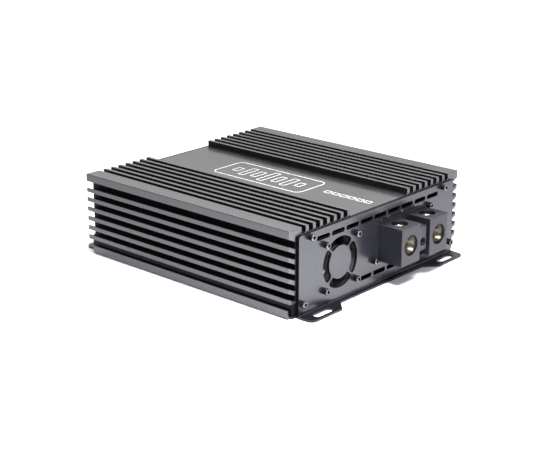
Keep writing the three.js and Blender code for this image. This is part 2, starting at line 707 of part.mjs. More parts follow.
const boardTop = BOARD.low + BOARD.thick;
add("main_board", block(BOARD.x0, BOARD.x1, -BOARD.side, BOARD.side, BOARD.low, boardTop), GREEN);
addEach("input_capacitor", INPUT_CAPACITOR.y, (y) => capacitor(INPUT_CAPACITOR, y), SLEEVE);
addEach("rail_capacitor", RAIL_CAPACITOR.y, (y) => capacitor(RAIL_CAPACITOR, y), SLEEVE);
addEach("power_transformer", TRANSFORMER.y, (y) => toroid(TRANSFORMER, y), FERRITE);
add("output_inductor", toroid(INDUCTOR, INDUCTOR.y), FERRITE);
addEach("transistor_clamp", [1, -1], clampBar, STEEL);
const transistorPlaces = [1, -1].flatMap((way) => TRANSISTOR.x.map((x) => [x, way]));
addEach("power_transistor", transistorPlaces, ([x, way]) => transistor(x, way), PLASTIC);

add("signal_board", signalBoard(), GREEN);
addEach("input_jack", JACK.y, jack, BRASS);
["gain", "low_pass", "subsonic", "bass_boost"].forEach((use, i) => {
  add(`${use}_knob`, knob(KNOB.y[i]), PLASTIC);
});
add("phase_switch_slider", switchSlider(), PLASTIC);
add("remote_level_port", remotePort(), PLASTIC);
add("status_light", statusLight(), LENS);
add("speaker_terminal", speakerTerminal(), PLASTIC);
function speakerScrew(y) {
  const { x, radius, tall, sunk, hex } = SPEAKER_SCREW;
  return setScrew(-x, y, SPEAKER.high - sunk, radius, tall, hex);
}
addEach("speaker_clamp_screw", SPEAKER_SIDES, speakerScrew, STEEL);

export default amplifier;
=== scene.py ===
"""Car amplifier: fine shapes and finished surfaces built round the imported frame.

Shapes are laid out in millimetres about the middle of the heatsink, +X to the power end and +Z up,
and moved to the row frame in metres when each piece is made.
"""

import json
from math import cos, hypot, pi, radians, sin, sqrt, tan

import bmesh
import bpy
from mathutils import Matrix, Vector
from mathutils.geometry import tessellate_polygon


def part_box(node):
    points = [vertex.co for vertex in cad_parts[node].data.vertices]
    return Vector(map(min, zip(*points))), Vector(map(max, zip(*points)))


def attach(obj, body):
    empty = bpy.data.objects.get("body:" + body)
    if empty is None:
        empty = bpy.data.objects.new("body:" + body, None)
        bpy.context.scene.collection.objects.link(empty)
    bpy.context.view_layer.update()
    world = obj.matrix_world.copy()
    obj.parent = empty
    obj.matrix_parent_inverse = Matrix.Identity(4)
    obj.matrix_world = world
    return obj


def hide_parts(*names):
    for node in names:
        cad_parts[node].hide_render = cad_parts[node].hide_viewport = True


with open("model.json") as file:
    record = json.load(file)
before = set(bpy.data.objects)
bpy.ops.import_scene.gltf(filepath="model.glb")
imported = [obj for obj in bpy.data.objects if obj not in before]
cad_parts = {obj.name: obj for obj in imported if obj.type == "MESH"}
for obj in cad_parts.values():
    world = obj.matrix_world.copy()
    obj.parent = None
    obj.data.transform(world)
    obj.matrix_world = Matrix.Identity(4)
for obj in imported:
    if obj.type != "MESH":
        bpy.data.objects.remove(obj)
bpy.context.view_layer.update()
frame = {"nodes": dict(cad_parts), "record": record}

# ---- Frame ----

NODES = frame["nodes"]
BODIES = frame["record"]["behaviour"]["bodies"]
BODY_OF = {node: body for body, members in BODIES.items() for node in members}
SLOT_OF = {name: node.data.materials[0].name for name, node in NODES.items()}

sink_low, sink_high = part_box("heatsink")
MIDDLE = (sink_low.x + sink_high.x) / 2
TO_ROW = Matrix.Translation((MIDDLE, 0, 0)) @ Matrix.Scale(0.001, 4)


def span(node):
    """A node's lowest and highest corner in millimetres about the heatsink's middle."""
    low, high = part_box(node)
    shift = Vector((MIDDLE, 0, 0))
    return (low - shift) * 1000, (high - shift) * 1000


def middle(node):
    low, high = span(node)
    return (low + high) / 2


END, SIDE, TOP = span("heatsink")[1]
GAP = 0.3  # between touching pieces
PLATE_THICK = 2.0
PLATE_IN, PLATE_OUT = END + GAP, END + GAP + PLATE_THICK

# ---- Materials ----


class Shader:
    """The nodes of a material or world. Patterns are laid out in cycles per millimetre."""

    def __init__(self, owner, output="OutputMaterial", shade="BsdfPrincipled", space="Object", **constants):
        owner.use_nodes = True
        self.owner = owner
        self.tree = owner.node_tree
        self.tree.nodes.clear()
        out = self.node(output)
        self.shade = self.node(shade)
        self.join(self.shade.outputs[0], out.inputs["Surface"])
        self.where = self.node("TexCoord").outputs[space]
        self.set(**constants)

    def node(self, kind, **settings):
        made = self.tree.nodes.new("ShaderNode" + kind)
        for key, value in settings.items():
            setattr(made, key, value)
        return made

    def join(self, a, b):
        self.tree.links.new(a, b)

    def feed(self, socket, value):
        """Joins an output to the socket, or sets the socket's own number or colour."""
        if isinstance(value, bpy.types.NodeSocket):
            self.join(value, socket)
        else:
            socket.default_value = (*value, 1) if isinstance(value, tuple) else value

    def set(self, **values):
        for key, value in values.items():
            self.feed(self.shade.inputs[key.replace("_", " ")], value)

    def texture(self, kind, scale, **settings):
        """A texture with scale cycles a millimetre, evenly or along each axis."""
        made = self.node(kind, **settings)
        made.inputs["Scale"].default_value = 1.0
        mapping = self.node("Mapping")
        steps = scale if isinstance(scale, (list, tuple)) else [scale] * 3
        mapping.inputs["Scale"].default_value = [1000 * s for s in steps]
        self.join(self.where, mapping.inputs["Vector"])
        self.join(mapping.outputs[0], made.inputs["Vector"])
        return made

    def noise(self, scale, detail=3.0, roughness=0.5):
        made = self.texture("TexNoise", scale)
        made.inputs["Detail"].default_value = detail
        made.inputs["Roughness"].default_value = roughness
        return made.outputs[0]

    def cells(self, scale, feature="F1"):
        return self.texture("TexVoronoi", scale, feature=feature).outputs["Distance"]

    def math(self, operation, a, b):
        made = self.node("Math", operation=operation)
        self.feed(made.inputs[0], a)
        self.feed(made.inputs[1], b)
        return made.outputs[0]

    def times(self, a, b):
        return self.math("MULTIPLY", a, b)

    def blend(self, a, share, b):
        """The output a by its share, with b by the rest."""
        return self.math("ADD", self.times(a, share), self.times(b, 1 - share))

    def dot(self, a, b):
        made = self.node("VectorMath", operation="DOT_PRODUCT")
        self.feed(made.inputs[0], a)
        self.feed(made.inputs[1], b)
        return made.outputs["Value"]

    def spread(self, value, low, high, to_low=0.0, to_high=1.0):
        """value's range low..high carried smoothly to to_low..to_high."""
        made = self.node("MapRange", interpolation_type="SMOOTHSTEP")
        self.join(value, made.inputs["Value"])
        for socket, number in zip(made.inputs[1:5], (low, high, to_low, to_high)):
            socket.default_value = number
        return made.outputs[0]

    def mix(self, share, a, b):
        """The colours a and b mixed by share. Each may be a colour or an output."""
        made = self.node("Mix", data_type="RGBA")
        self.join(share, made.inputs["Factor"])
        colours = [socket for socket in made.inputs if socket.type == "RGBA"]
        self.feed(colours[0], a)
        self.feed(colours[1], b)
        return [socket for socket in made.outputs if socket.type == "RGBA"][0]

    def bump(self, heights, strength):
        """Bump from (height output, depth in millimetres) pairs, one after another."""
        before = None
        for height, depth in heights:
            made = self.node("Bump")
            made.inputs["Strength"].default_value = strength
            made.inputs["Distance"].default_value = depth * 0.001
            self.join(height, made.inputs["Height"])
            if before is not None:
                self.join(before, made.inputs["Normal"])
            before = made.outputs[0]
        self.set(Normal=before)

    def edges(self, radius):
        """Rises from 0 on open faces to 1 within radius millimetres of an edge or a corner."""
        bevel = self.node("Bevel", samples=3)
        bevel.inputs["Radius"].default_value = radius * 0.001
        facing = self.dot(bevel.outputs[0], self.node("NewGeometry").outputs["Normal"])
        return self.spread(self.math("SUBTRACT", 1.0, facing), 0.01, 0.14)


def finish(name, **constants):
    return Shader(bpy.data.materials.new(name), **constants)


def brushed(name, dark, light, rough, along, depth, worn, wear, metal=1.0, vary=0.05, **constants):
    """Metal with fine grain along one axis, cloudy variation, fine scratches and rubbed edges."""
    s = finish(name, Metallic=metal, **constants)
    fine, broad = [3.6] * 3, [0.55] * 3
    fine[along] = 0.035
    broad[along] = 0.006
    grain = s.noise(fine, 4.0, 0.65)
    bands = s.noise(broad, 3.0, 0.6)
    cloud = s.noise(0.018, 3.0, 0.55)
    dust = s.noise(1.3, 6.0, 0.7)
    tone = s.blend(s.blend(grain, 0.55, bands), 0.7, cloud)
    color = s.mix(s.spread(tone, 0.36, 0.64), dark, light)
    rubbed = s.times(s.times(s.edges(0.5), s.spread(dust, 0.38, 0.62, 0.25, 1.0)), wear)
    s.set(Base_Color=s.mix(rubbed, color, worn))
    s.set(Roughness=s.spread(s.blend(cloud, 0.5, dust), 0.35, 0.65, rough - vary, rough + vary))
    s.bump([(grain, depth), (bands, depth * 2)], 0.5)
    return s.owner


def cast(name, dark, light, rough, grain, depth, metal=0.0, wear=0.0, worn=None, **constants):
    """A moulded, coated or blasted surface: fine pits, cloudy tone and lighter rubbed edges."""
    s = finish(name, Metallic=metal, **constants)
    pits = s.noise(grain, 5.0, 0.6)
    fleck = s.cells(grain * 0.6)
    tone = s.blend(pits, 0.5, s.noise(0.05, 4.0, 0.6))
    color = s.mix(s.spread(tone, 0.38, 0.62), dark, light)
    if wear:
        patchy = s.times(s.edges(0.4), s.spread(pits, 0.35, 0.6, 0.3, 1.0))
        color = s.mix(s.times(patchy, wear), color, worn)
    s.set(Base_Color=color)
    s.set(Roughness=s.spread(tone, 0.35, 0.65, rough - 0.05, rough + 0.07))
    s.bump([(pits, depth), (fleck, depth * 0.5)], 0.6)
    return s.owner


def board_green():
    """Solder mask over copper: lighter tracks on a grid, pads, and a faint glass weave."""
    s = finish("board_mask", Metallic=0.0, Coat_Weight=0.4, Coat_Roughness=0.2)
    line = s.spread(s.cells(0.16, "DISTANCE_TO_EDGE"), 0.05, 0.09, 1.0, 0.0)
    pads = s.spread(s.cells(0.32), 0.16, 0.2, 1.0, 0.0)
    weave = s.noise(2.0, 2.0, 0.5)
    base = s.mix(weave, (0.008, 0.05, 0.028), (0.014, 0.075, 0.04))
    s.set(Base_Color=s.mix(pads, s.mix(line, base, (0.03, 0.13, 0.06)), (0.42, 0.4, 0.36)))
    s.set(Roughness=s.spread(pads, 0.0, 1.0, 0.42, 0.28))
    s.bump([(line, 0.03), (pads, 0.05), (weave, 0.01)], 0.6)
    return s.owner


def sleeve_film():
    """Shrink sleeve: glossy dark film with a soft orange-peel and cloudy tone."""
    s = finish("sleeve_film", Metallic=0.0, Coat_Weight=0.5, Coat_Roughness=0.12)
    peel = s.noise((0.5, 0.5, 0.25), 3.0, 0.5)
    cloud = s.noise((0.06, 0.06, 0.02), 2.0, 0.5)
    s.set(Base_Color=s.mix(s.spread(cloud, 0.4, 0.6), (0.008, 0.012, 0.022), (0.02, 0.026, 0.045)))
    s.set(Roughness=s.spread(peel, 0.3, 0.7, 0.26, 0.4))
    s.bump([(peel, 0.06)], 0.4)
    return s.owner


# brushed: name, dark, light, roughness, grain axis, grain depth, worn colour, wear, metal, variation.
# cast: name, dark, light, roughness, cycles a millimetre, pit depth, metal, wear, worn colour.
MATERIALS = {
    "anodised_aluminium": brushed(
        "anodised_brushed", (0.006, 0.006, 0.007), (0.015, 0.015, 0.016), 0.29, 0, 0.008,
        (0.12, 0.12, 0.125), 0.3, 0.0, 0.04, IOR=1.75,
    ),
    # painted shade: a near-black, barely glossy finish laid on grooves, recesses, hole walls and rims where
    # shade falls
    "painted_shade_black": cast(
        "painted_shade_black", (0.0012, 0.0012, 0.0016), (0.0028, 0.0028, 0.0034), 0.5, 1.6, 0.02,
        Specular_IOR_Level=0.1,
    ),
    "cut_end": brushed(
        "cut_end", (0.012, 0.012, 0.014), (0.022, 0.022, 0.025), 0.3, 2, 0.01,
        (0.2, 0.2, 0.21), 0.4, 0.0, IOR=1.75,
    ),
    # painted shade: a darker copy of the plate's satin finish, for the plate's own bent foot
    "foot_painted_shade": brushed(
        "foot_painted_shade", (0.002, 0.002, 0.004), (0.004, 0.004, 0.007), 0.36, 1, 0.002,
        (0.1, 0.1, 0.11), 0.4, 0.0, 0.02, IOR=1.4,
    ),
    # painted highlight: a bright metal ring on the black oxide screw heads
    "screw_rim_painted_highlight": cast(
        "screw_rim_painted_highlight", (0.12, 0.12, 0.125), (0.2, 0.2, 0.205), 0.2, 4.0, 0.006, 1.0, 0.5, (0.6, 0.6, 0.6)
    ),
    "end_plate_black": brushed(
        "plate_satin", (0.007, 0.007, 0.01), (0.01, 0.01, 0.014), 0.26, 1, 0.0008,
        (0.16, 0.16, 0.17), 0.4, 0.0, 0.012, IOR=1.6,
    ),
    "black_steel_screw": cast(
        "black_oxide", (0.002, 0.002, 0.0025), (0.005, 0.005, 0.006), 0.34, 5.0, 0.01,
        0.0, 0.2, (0.1, 0.1, 0.1), Specular_IOR_Level=0.12,
    ),
    "terminal_black": brushed(
        "terminal_anodised", (0.003, 0.003, 0.005), (0.006, 0.006, 0.01), 0.36, 2, 0.004,
        (0.2, 0.2, 0.22), 0.5, 0.0, 0.03, IOR=1.45,
    ),
    "bright_steel": brushed(
        "nickel_bright", (0.55, 0.55, 0.55), (0.72, 0.71, 0.69), 0.2, 1, 0.004, (0.85, 0.85, 0.84), 0.4
    ),
    "gold_plate": brushed(
        "gold_flash", (0.62, 0.44, 0.17), (0.8, 0.6, 0.28), 0.2, 1, 0.003, (0.9, 0.75, 0.45), 0.4
    ),
    # painted shade: a darkened copy of the nickel for the bore's lining, with its rubbed edges still bright
    "bore_nickel_painted_shade": brushed(
        "bore_nickel_painted_shade", (0.05, 0.042, 0.03), (0.13, 0.112, 0.08), 0.26, 1, 0.006, (0.85, 0.82, 0.75), 1.0
    ),
    "copper": brushed(
        "copper_bare", (0.5, 0.24, 0.14), (0.68, 0.36, 0.24), 0.32, 1, 0.008, (0.85, 0.55, 0.4), 0.4
    ),
    "black_plastic": cast(
        "moulded_black", (0.008, 0.008, 0.009), (0.018, 0.018, 0.02), 0.5, 2.2, 0.02, Specular_IOR_Level=0.3
    ),
    "fan_plastic": cast("fan_plastic", (0.035, 0.035, 0.037), (0.06, 0.06, 0.063), 0.32, 1.8, 0.02, IOR=1.6),
    "circuit_board": board_green(),
    "capacitor_sleeve": sleeve_film(),
    "wound_core": cast("core_paint", (0.1, 0.13, 0.05), (0.16, 0.19, 0.08), 0.45, 1.4, 0.02),
    "enamelled_wire": cast(
        "enamelled_wire", (0.42, 0.17, 0.07), (0.62, 0.3, 0.14), 0.24, 3.0, 0.004, 0.9, Coat_Weight=0.4
    ),
    "transistor_body": cast("epoxy_black", (0.014, 0.014, 0.014), (0.028, 0.028, 0.028), 0.55, 3.0, 0.02),
    "light_lens": cast(
        "lens_blue", (0.05, 0.16, 0.5), (0.08, 0.22, 0.62), 0.12, 1.0, 0.002,
        Transmission_Weight=0.5, Coat_Weight=0.6,
    ),
    "print_grey": cast("print_grey", (0.16, 0.16, 0.17), (0.22, 0.22, 0.23), 0.5, 4.0, 0.004),
    "print_white": cast("print_white", (0.74, 0.75, 0.76), (0.86, 0.87, 0.88), 0.5, 4.0, 0.004),
    "ring_white": cast("ring_white", (0.7, 0.7, 0.68), (0.8, 0.8, 0.78), 0.35, 2.0, 0.006),
    "ring_red": cast("ring_red", (0.42, 0.02, 0.02), (0.56, 0.035, 0.03), 0.35, 2.0, 0.006),
    "can_top": brushed("can_top", (0.5, 0.5, 0.5), (0.62, 0.62, 0.62), 0.34, 0, 0.006, (0.8, 0.8, 0.8), 0.3),
}

# ---- Shape helpers ----


def flat_loop(points, anticlockwise=True):
    """Points as vectors, turning the way asked."""
    loop = [Vector(p) for p in points]
    area = sum(a.x * b.y - b.x * a.y for a, b in zip(loop, loop[1:] + loop[:1]))
    return loop if (area > 0) == anticlockwise else loop[::-1]


def fillet(points, radius, steps):
    """A closed outline with its corners rounded, by one radius or by one for each corner."""
    made = []
    for i, point in enumerate(points):
        r = radius[i] if isinstance(radius, list) else radius
        p = Vector(point)
        a = Vector(points[i - 1]) - p
        b = Vector(points[(i + 1) % len(points)]) - p
        angle = a.angle(b)
        if r <= 0 or angle > radians(178):
            made.append(p)
            continue
        reach = min(r / tan(angle / 2), 0.48 * a.length, 0.48 * b.length)
        r = reach * tan(angle / 2)
        a.normalize()
        b.normalize()
        centre = p + (a + b).normalized() * (r / sin(angle / 2))
        start, end = p + a * reach - centre, p + b * reach - centre
        sweep = start.angle(end)
        for k in range(steps + 1):
            t = k / steps
            blend = sin((1 - t) * sweep) * start + sin(t * sweep) * end
            made.append(centre + blend / sin(sweep))
    return made


def angles(count):
    """Evenly spaced angles once round."""
    return [2 * pi * k / count for k in range(count)]


def circle(u, v, radius, count):
    return [(u + radius * cos(a), v + radius * sin(a)) for a in angles(count)]


def rectangle(u0, u1, v0, v1, corner=0.0, steps=4):
    points = [(u0, v0), (u1, v0), (u1, v1), (u0, v1)]
    return fillet(points, corner, steps) if corner else [Vector(p) for p in points]


def shifted(loop, amount):
    """The loop moved to its left by amount: into the material of an outline or of a hole."""
    made = []
    for i, p in enumerate(loop):
        before = (p - loop[i - 1]).normalized()
        after = (loop[(i + 1) % len(loop)] - p).normalized()
        left = Vector((-before.y, before.x))
        mean = (left + Vector((-after.y, after.x))).normalized()
        made.append(p + mean * (amount / max(0.5, mean.dot(left))))
    return made


def lengthwise(u, v, t):
    """Places an outline seen along X, its depth along X."""
    return t, u, v


def flat(u, v, t):
    return u, v, t


def sheet(bm, outer, holes, t0, t1, edge, place=flat, steps=2):
    """Adds a slab between depths t0 and t1, with every rim rounded by edge."""
    loops = [flat_loop(outer)] + [flat_loop(h, False) for h in holes]
    quarter = [pi / 2 * k / steps for k in range(steps + 1)]
    stations = [(edge * (1 - sin(a)), t0 + edge * (1 - cos(a))) for a in quarter]
    stations += [(edge * (1 - cos(a)), t1 - edge * (1 - sin(a))) for a in quarter]
    caps = [[], []]
    for loop in loops:
        rings = []
        for amount, depth in stations:
            rings.append([bm.verts.new(place(p.x, p.y, depth)) for p in shifted(loop, amount)])
        for low_ring, high_ring in zip(rings, rings[1:]):
            join_rings(bm, low_ring, high_ring)
        caps[0] += rings[0]
        caps[1] += rings[-1]
    rims = [[p.to_3d() for p in shifted(loop, edge)] for loop in loops]
    for verts in caps:
        for triangle in tessellate_polygon(rims):
            corners = [verts[k] for k in triangle]
            if len(set(corners)) == 3 and not bm.faces.get(corners):
                bm.faces.new(corners)


def join_rings(bm, a, b):
    for i in range(len(a)):
        j = (i + 1) % len(a)
        bm.faces.new((a[i], a[j], b[j], b[i]))


def hexagon(across):
    """The radius of a hexagon across flats, as a function of the angle."""
    return lambda a: across / 2 / cos((a + pi / 6) % (pi / 3) - pi / 6)


def fluted(radius, count, depth):
    return lambda a: radius - depth * (0.5 - 0.5 * cos(count * a))


def thread(radius, d0, d1, pitch, depth):
    """Stations of a helical thread whose crests stand depth from radius (inwards if negative)."""

    def at(d):
        fade = min(1.0, (d - d0) / pitch, (d1 - d) / pitch)

        def r(a):
            phase = (d / pitch - a / (2 * pi)) % 1.0
            return radius + depth * fade * min(1.0, max(0.0, 1.35 - 3.2 * abs(phase - 0.5)))

        return r

    rows_a_turn = 6
    count = max(2, round((d1 - d0) / pitch * rows_a_turn))
    return [(at(d), d) for d in (d0 + (d1 - d0) * k / count for k in range(count + 1))]


def turned(bm, stations, place, count):
    """Joins rings into a closed turned shape. A station is (radius or function of angle, depth)."""
    rings = []
    for radius, depth in stations:
        if radius == 0:
            rings.append([bm.verts.new(place(0, 0, depth))])
            continue
        ring = []
        for a in angles(count):
            r = radius(a) if callable(radius) else radius
            ring.append(bm.verts.new(place(r * cos(a), r * sin(a), depth)))
        rings.append(ring)
    for a, b in zip(rings, rings[1:]):
        if len(a) == 1 or len(b) == 1:
            tip, ring = (a[0], b) if len(a) == 1 else (b[0], a)
            for i in range(len(ring)):
                bm.faces.new((tip, ring[i], ring[(i + 1) % len(ring)]))
        else:
            join_rings(bm, a, b)
    for ring in (rings[0], rings[-1]):
        if len(ring) > 1:
            bm.faces.new(ring)


def along_x(x, y, z, way=1):
    """Places a turned shape about a line along X through (y, z), its depth counted from x."""
    return lambda u, v, d: (x + way * d, y + u, z + v)


def along_z(x, y, z):
    return lambda u, v, d: (x + u, y + v, z + d)


def brick(bm, low, high, round_off, segments):
    """A box with rounded edges."""
    made = bmesh.ops.create_cube(bm, size=1.0)["verts"]
    for v in made:
        v.co = Vector(low[i] if v.co[i] < 0 else high[i] for i in range(3))
    edges = list({e for v in made for e in v.link_edges})
    bmesh.ops.bevel(bm, geom=edges, offset=round_off, segments=segments, profile=0.5, affect="EDGES")


def tube(bm, path, radius, closed=False):
    """A six-sided wire along a path of points."""
    rings = []
    count = len(path)
    for i, p in enumerate(path):
        before = path[i - 1] if closed or i else p
        after = path[(i + 1) % count] if closed or i < count - 1 else p
        ahead = (after - before).normalized()
        side = ahead.cross(Vector((0.13, 0.21, 0.97))).normalized()
        up = side.cross(ahead)
        rings.append([bm.verts.new(p + radius * (cos(a) * side + sin(a) * up)) for a in angles(6)])
    for a, b in zip(rings, rings[1:]):
        join_rings(bm, a, b)
    if closed:
        join_rings(bm, rings[-1], rings[0])
    else:
        bm.faces.new(rings[0])
        bm.faces.new(rings[-1])


def sliced(bm, point, normal):
    """Adds edges where a plane crosses the faces."""
    everything = bm.verts[:] + bm.edges[:] + bm.faces[:]
    bmesh.ops.bisect_plane(bm, geom=everything, dist=1e-5, plane_co=point, plane_no=normal)


def mesh_from(bm, name, sharp):
    """A mesh with clean normals: smooth, with edges over the sharp angle kept crisp."""
    bmesh.ops.remove_doubles(bm, verts=bm.verts, dist=1e-4)
    bmesh.ops.recalc_face_normals(bm, faces=bm.faces)
    for face in bm.faces:
        face.smooth = True
    for edge in bm.edges:
        edge.smooth = len(edge.link_faces) == 2 and edge.calc_face_angle(0.0) < radians(sharp)
    bm.transform(TO_ROW)
    mesh = bpy.data.meshes.new(name)
    bm.to_mesh(mesh)
    bm.free()
    return mesh


def add_object(name, data):
    made = bpy.data.objects.new(name, data)
    bpy.context.scene.collection.objects.link(made)
    return made


def crisp_shading(made):
    made.modifiers.new("weighted_normals", "WEIGHTED_NORMAL").keep_sharp = True


def piece(name, bm, like, materials=None, replaces=(), sharp=35.0):
    """Finishes a piece: it rides on the body of node like, and has that node's material slot."""
    made = add_object(name, mesh_from(bm, name, sharp))
    for key in materials or [SLOT_OF[like]]:
        made.data.materials.append(MATERIALS[key])
    crisp_shading(made)
    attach(made, BODY_OF[like])
    if replaces:
        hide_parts(*replaces)
    return made


def carved(bm, *tools):
    """The solid in bm with the tools' solids cut out, as a new bmesh."""
    spare = []
    for solid in (bm, *tools):
        made = add_object("carving", bpy.data.meshes.new("carving"))
        bmesh.ops.recalc_face_normals(solid, faces=solid.faces)
        solid.to_mesh(made.data)
        solid.free()
        spare.append(made)
    body, *cutters = spare
    for cutter in cutters:
        cut = body.modifiers.new("cut", "BOOLEAN")
        cut.operation = "DIFFERENCE"
        cut.solver = "EXACT"
        cut.object = cutter
    graph = bpy.context.evaluated_depsgraph_get()
    result = bmesh.new()
    result.from_mesh(body.evaluated_get(graph).to_mesh())
    for made in spare:
        mesh = made.data
        bpy.data.objects.remove(made)
        bpy.data.meshes.remove(mesh)
    return result


def soften(node, width, segments=2):
    """Keeps a CAD node, welds and clears its flat faces, and rounds its edges."""
    made = NODES[node]
    made.data.materials.clear()
    made.data.materials.append(MATERIALS[SLOT_OF[node]])
    weld = made.modifiers.new("weld", "WELD")
    weld.merge_threshold = 1e-6
    clear = made.modifiers.new("clear", "DECIMATE")
    clear.decimate_type = "DISSOLVE"
    clear.angle_limit = radians(1)
    bevel = made.modifiers.new("round", "BEVEL")
    bevel.width = width * 0.001
    bevel.segments = segments
    bevel.limit_method = "ANGLE"
    bevel.angle_limit = radians(38)
    bevel.use_clamp_overlap = True
    crisp_shading(made)


# ---- Case ----

TOP_FIN = {"count": 7, "first": 39.5, "pitch": 8.75, "thick": 3.5, "floor": 70.3}
SIDE_FIN = {"count": 6, "first": 61.3, "pitch": 8.9, "thick": 4.0, "depth": 8.0, "slant": 26.0}
LAND_INNER, LAND_LOWER = 100.6, 69.3
WALL_INNER, FOOT_Z, FOOT_OUTER, FOOT_INNER = 103.0, 2.3, 111.2, 96.6
FOOT_TOP, WALL_LOW, WALL_HIGH = 16, 22, 60
CEILING, CEILING_EDGE = 65.0, 98
RAIL = {"outer": 96.5, "inner": 86.5, "z": 62}  # the ledges under the ceiling
SAWN_SHADE_PAINTED_BELOW = 13.5  # the side fins' sawn ends keep the sawn finish above this height; below it they take the black painted shade
COVER_POSTS = [(x, y) for x in (-96, 0, 94) for y in (-80, 80)]
COVER_SCREWS = [(x, way * (FOOT_INNER + 6.8)) for x in (-100, -34, 34, 100) for way in (-1, 1)]


def heatsink_outline():
    """The extrusion's section, its fin tips and roots rounded as a die leaves them."""
    drop = tan(radians(SIDE_FIN["slant"]))
    deep = SIDE_FIN["depth"]
    web = SIDE - deep
    half = SIDE_FIN["thick"] / 2
    floor, thick = TOP_FIN["floor"], TOP_FIN["thick"]
    tip_round, root_round = 0.3, 0.7
    corners = []
    for k in range(TOP_FIN["count"]):
        y = TOP_FIN["first"] + k * TOP_FIN["pitch"]
        corners += [(y, floor, root_round), (y, TOP, tip_round)]
        corners += [(y + thick, TOP, tip_round), (y + thick, floor, root_round)]
    corners += [(LAND_INNER, floor, root_round), (LAND_INNER, TOP, tip_round), (SIDE, TOP, 0.6)]
    corners += [(SIDE, LAND_LOWER, 0.5), (web, LAND_LOWER - deep * drop, root_round)]
    for k in range(SIDE_FIN["count"]):
        tip = SIDE_FIN["first"] - k * SIDE_FIN["pitch"]
        root = FOOT_OUTER if k == SIDE_FIN["count"] - 1 else web
        corners += [(web, tip + half - deep * drop, root_round)]
        corners += [(SIDE, tip + half, tip_round), (SIDE, tip - half, tip_round)]
        corners += [(root, tip - half - (SIDE - root) * drop, root_round)]
    corners += [(FOOT_OUTER, FOOT_Z, 0.4), (FOOT_INNER, FOOT_Z, 0.4), (FOOT_INNER, FOOT_TOP, 0.4)]
    corners += [(WALL_INNER, WALL_LOW, 1.0), (WALL_INNER, WALL_HIGH, 1.0), (CEILING_EDGE, CEILING, 0.8)]
    corners += [(RAIL["outer"], CEILING, 0.3), (RAIL["outer"], RAIL["z"], 0.5)]
    corners += [(RAIL["inner"], RAIL["z"], 0.5), (RAIL["inner"], CEILING, 0.5)]
    corners += [(-y, z, r) for y, z, r in reversed(corners)]
    return fillet([(y, z) for y, z, _ in corners], [r for _, _, r in corners], 3)


def build_heatsink():
    bm = bmesh.new()
    sheet(bm, heatsink_outline(), [], -END, END, 0.35, lengthwise)
    web = SIDE - SIDE_FIN["depth"] + 0.4
    sliced(bm, (0, -web, 0), (0, 1, 0))
    sliced(bm, (0, web, 0), (0, 1, 0))
    sliced(bm, (0, 0, SAWN_SHADE_PAINTED_BELOW), (0, 0, 1))
    for face in bm.faces:
        c = face.calc_center_median()
        at_end = abs(c.x) > END - 0.3
        on_panel = abs(c.y) < TOP_FIN["first"] - 0.6
        on_fin_end = c.z > TOP_FIN["floor"] - 0.2 or abs(c.y) > web and c.z > SAWN_SHADE_PAINTED_BELOW
        sawn = at_end and on_fin_end and not on_panel
        on_top = c.z > TOP - 0.06 or (on_panel and not at_end and c.z > CEILING + 2)
        on_side = abs(c.y) > SIDE - 0.06
        # painted shade: groove floors, fin walls, the web's end, the end face under the panel and the sawn
        # ends below the set height take the black painted shade; top faces, outer sides and the upper sawn
        # fin ends keep their own finishes
        face.material_index = 2 if sawn else 0 if on_top or on_side else 1
    finishes = ["anodised_aluminium", "painted_shade_black", "cut_end"]
    piece("heatsink_extrusion", bm, "heatsink", finishes, replaces=["heatsink"], sharp=50)


def build_cover():
    low, high = span("bottom_cover")
    side, thick = high.y, 1.6
    section = [(-side, high.z), (-side, low.z), (side, low.z), (side, high.z), (side - thick, high.z)]
    section += [(side - thick, low.z + thick), (thick - side, low.z + thick), (thick - side, high.z)]
    rounds = [0.4, 1.6, 1.6, 0.4, 0.4, 0.6, 0.6, 0.4]
    bm = bmesh.new()
    sheet(bm, fillet(section, rounds, 4), [], low.x, high.x, 0.25, lengthwise)
    piece("cover_tray", bm, "bottom_cover", replaces=["bottom_cover"])
    posts = bmesh.new()
    tall = span("main_board")[0].z - GAP - low.z - thick
    stations = [(4.2, 0.0), (3.4, 0.4), (3.0, 1.0), (3.0, tall - 0.2), (2.8, tall), (1.4, tall)]
    stations += [(1.3, 2.0), (0, 1.6)]
    for x, y in COVER_POSTS:
        turned(posts, stations, along_z(x, y, low.z + thick), 24)
    piece("cover_posts", posts, "bottom_cover")
    screws = bmesh.new()
    stations = [(0, -0.3), (2.9, -0.3), (2.9, 0.08), (2.7, 0.22), (1.6, 0.26)]
    stations += [(hexagon(1.9), 0.26), (hexagon(1.9), 0.05), (0, 0.02)]
    for x, y in COVER_SCREWS:
        turned(screws, stations, lambda u, v, d: (x + u, y + v, low.z - d), 36)
    piece("cover_screws", screws, "bottom_cover", ["black_steel_screw"])


# ---- End plates ----

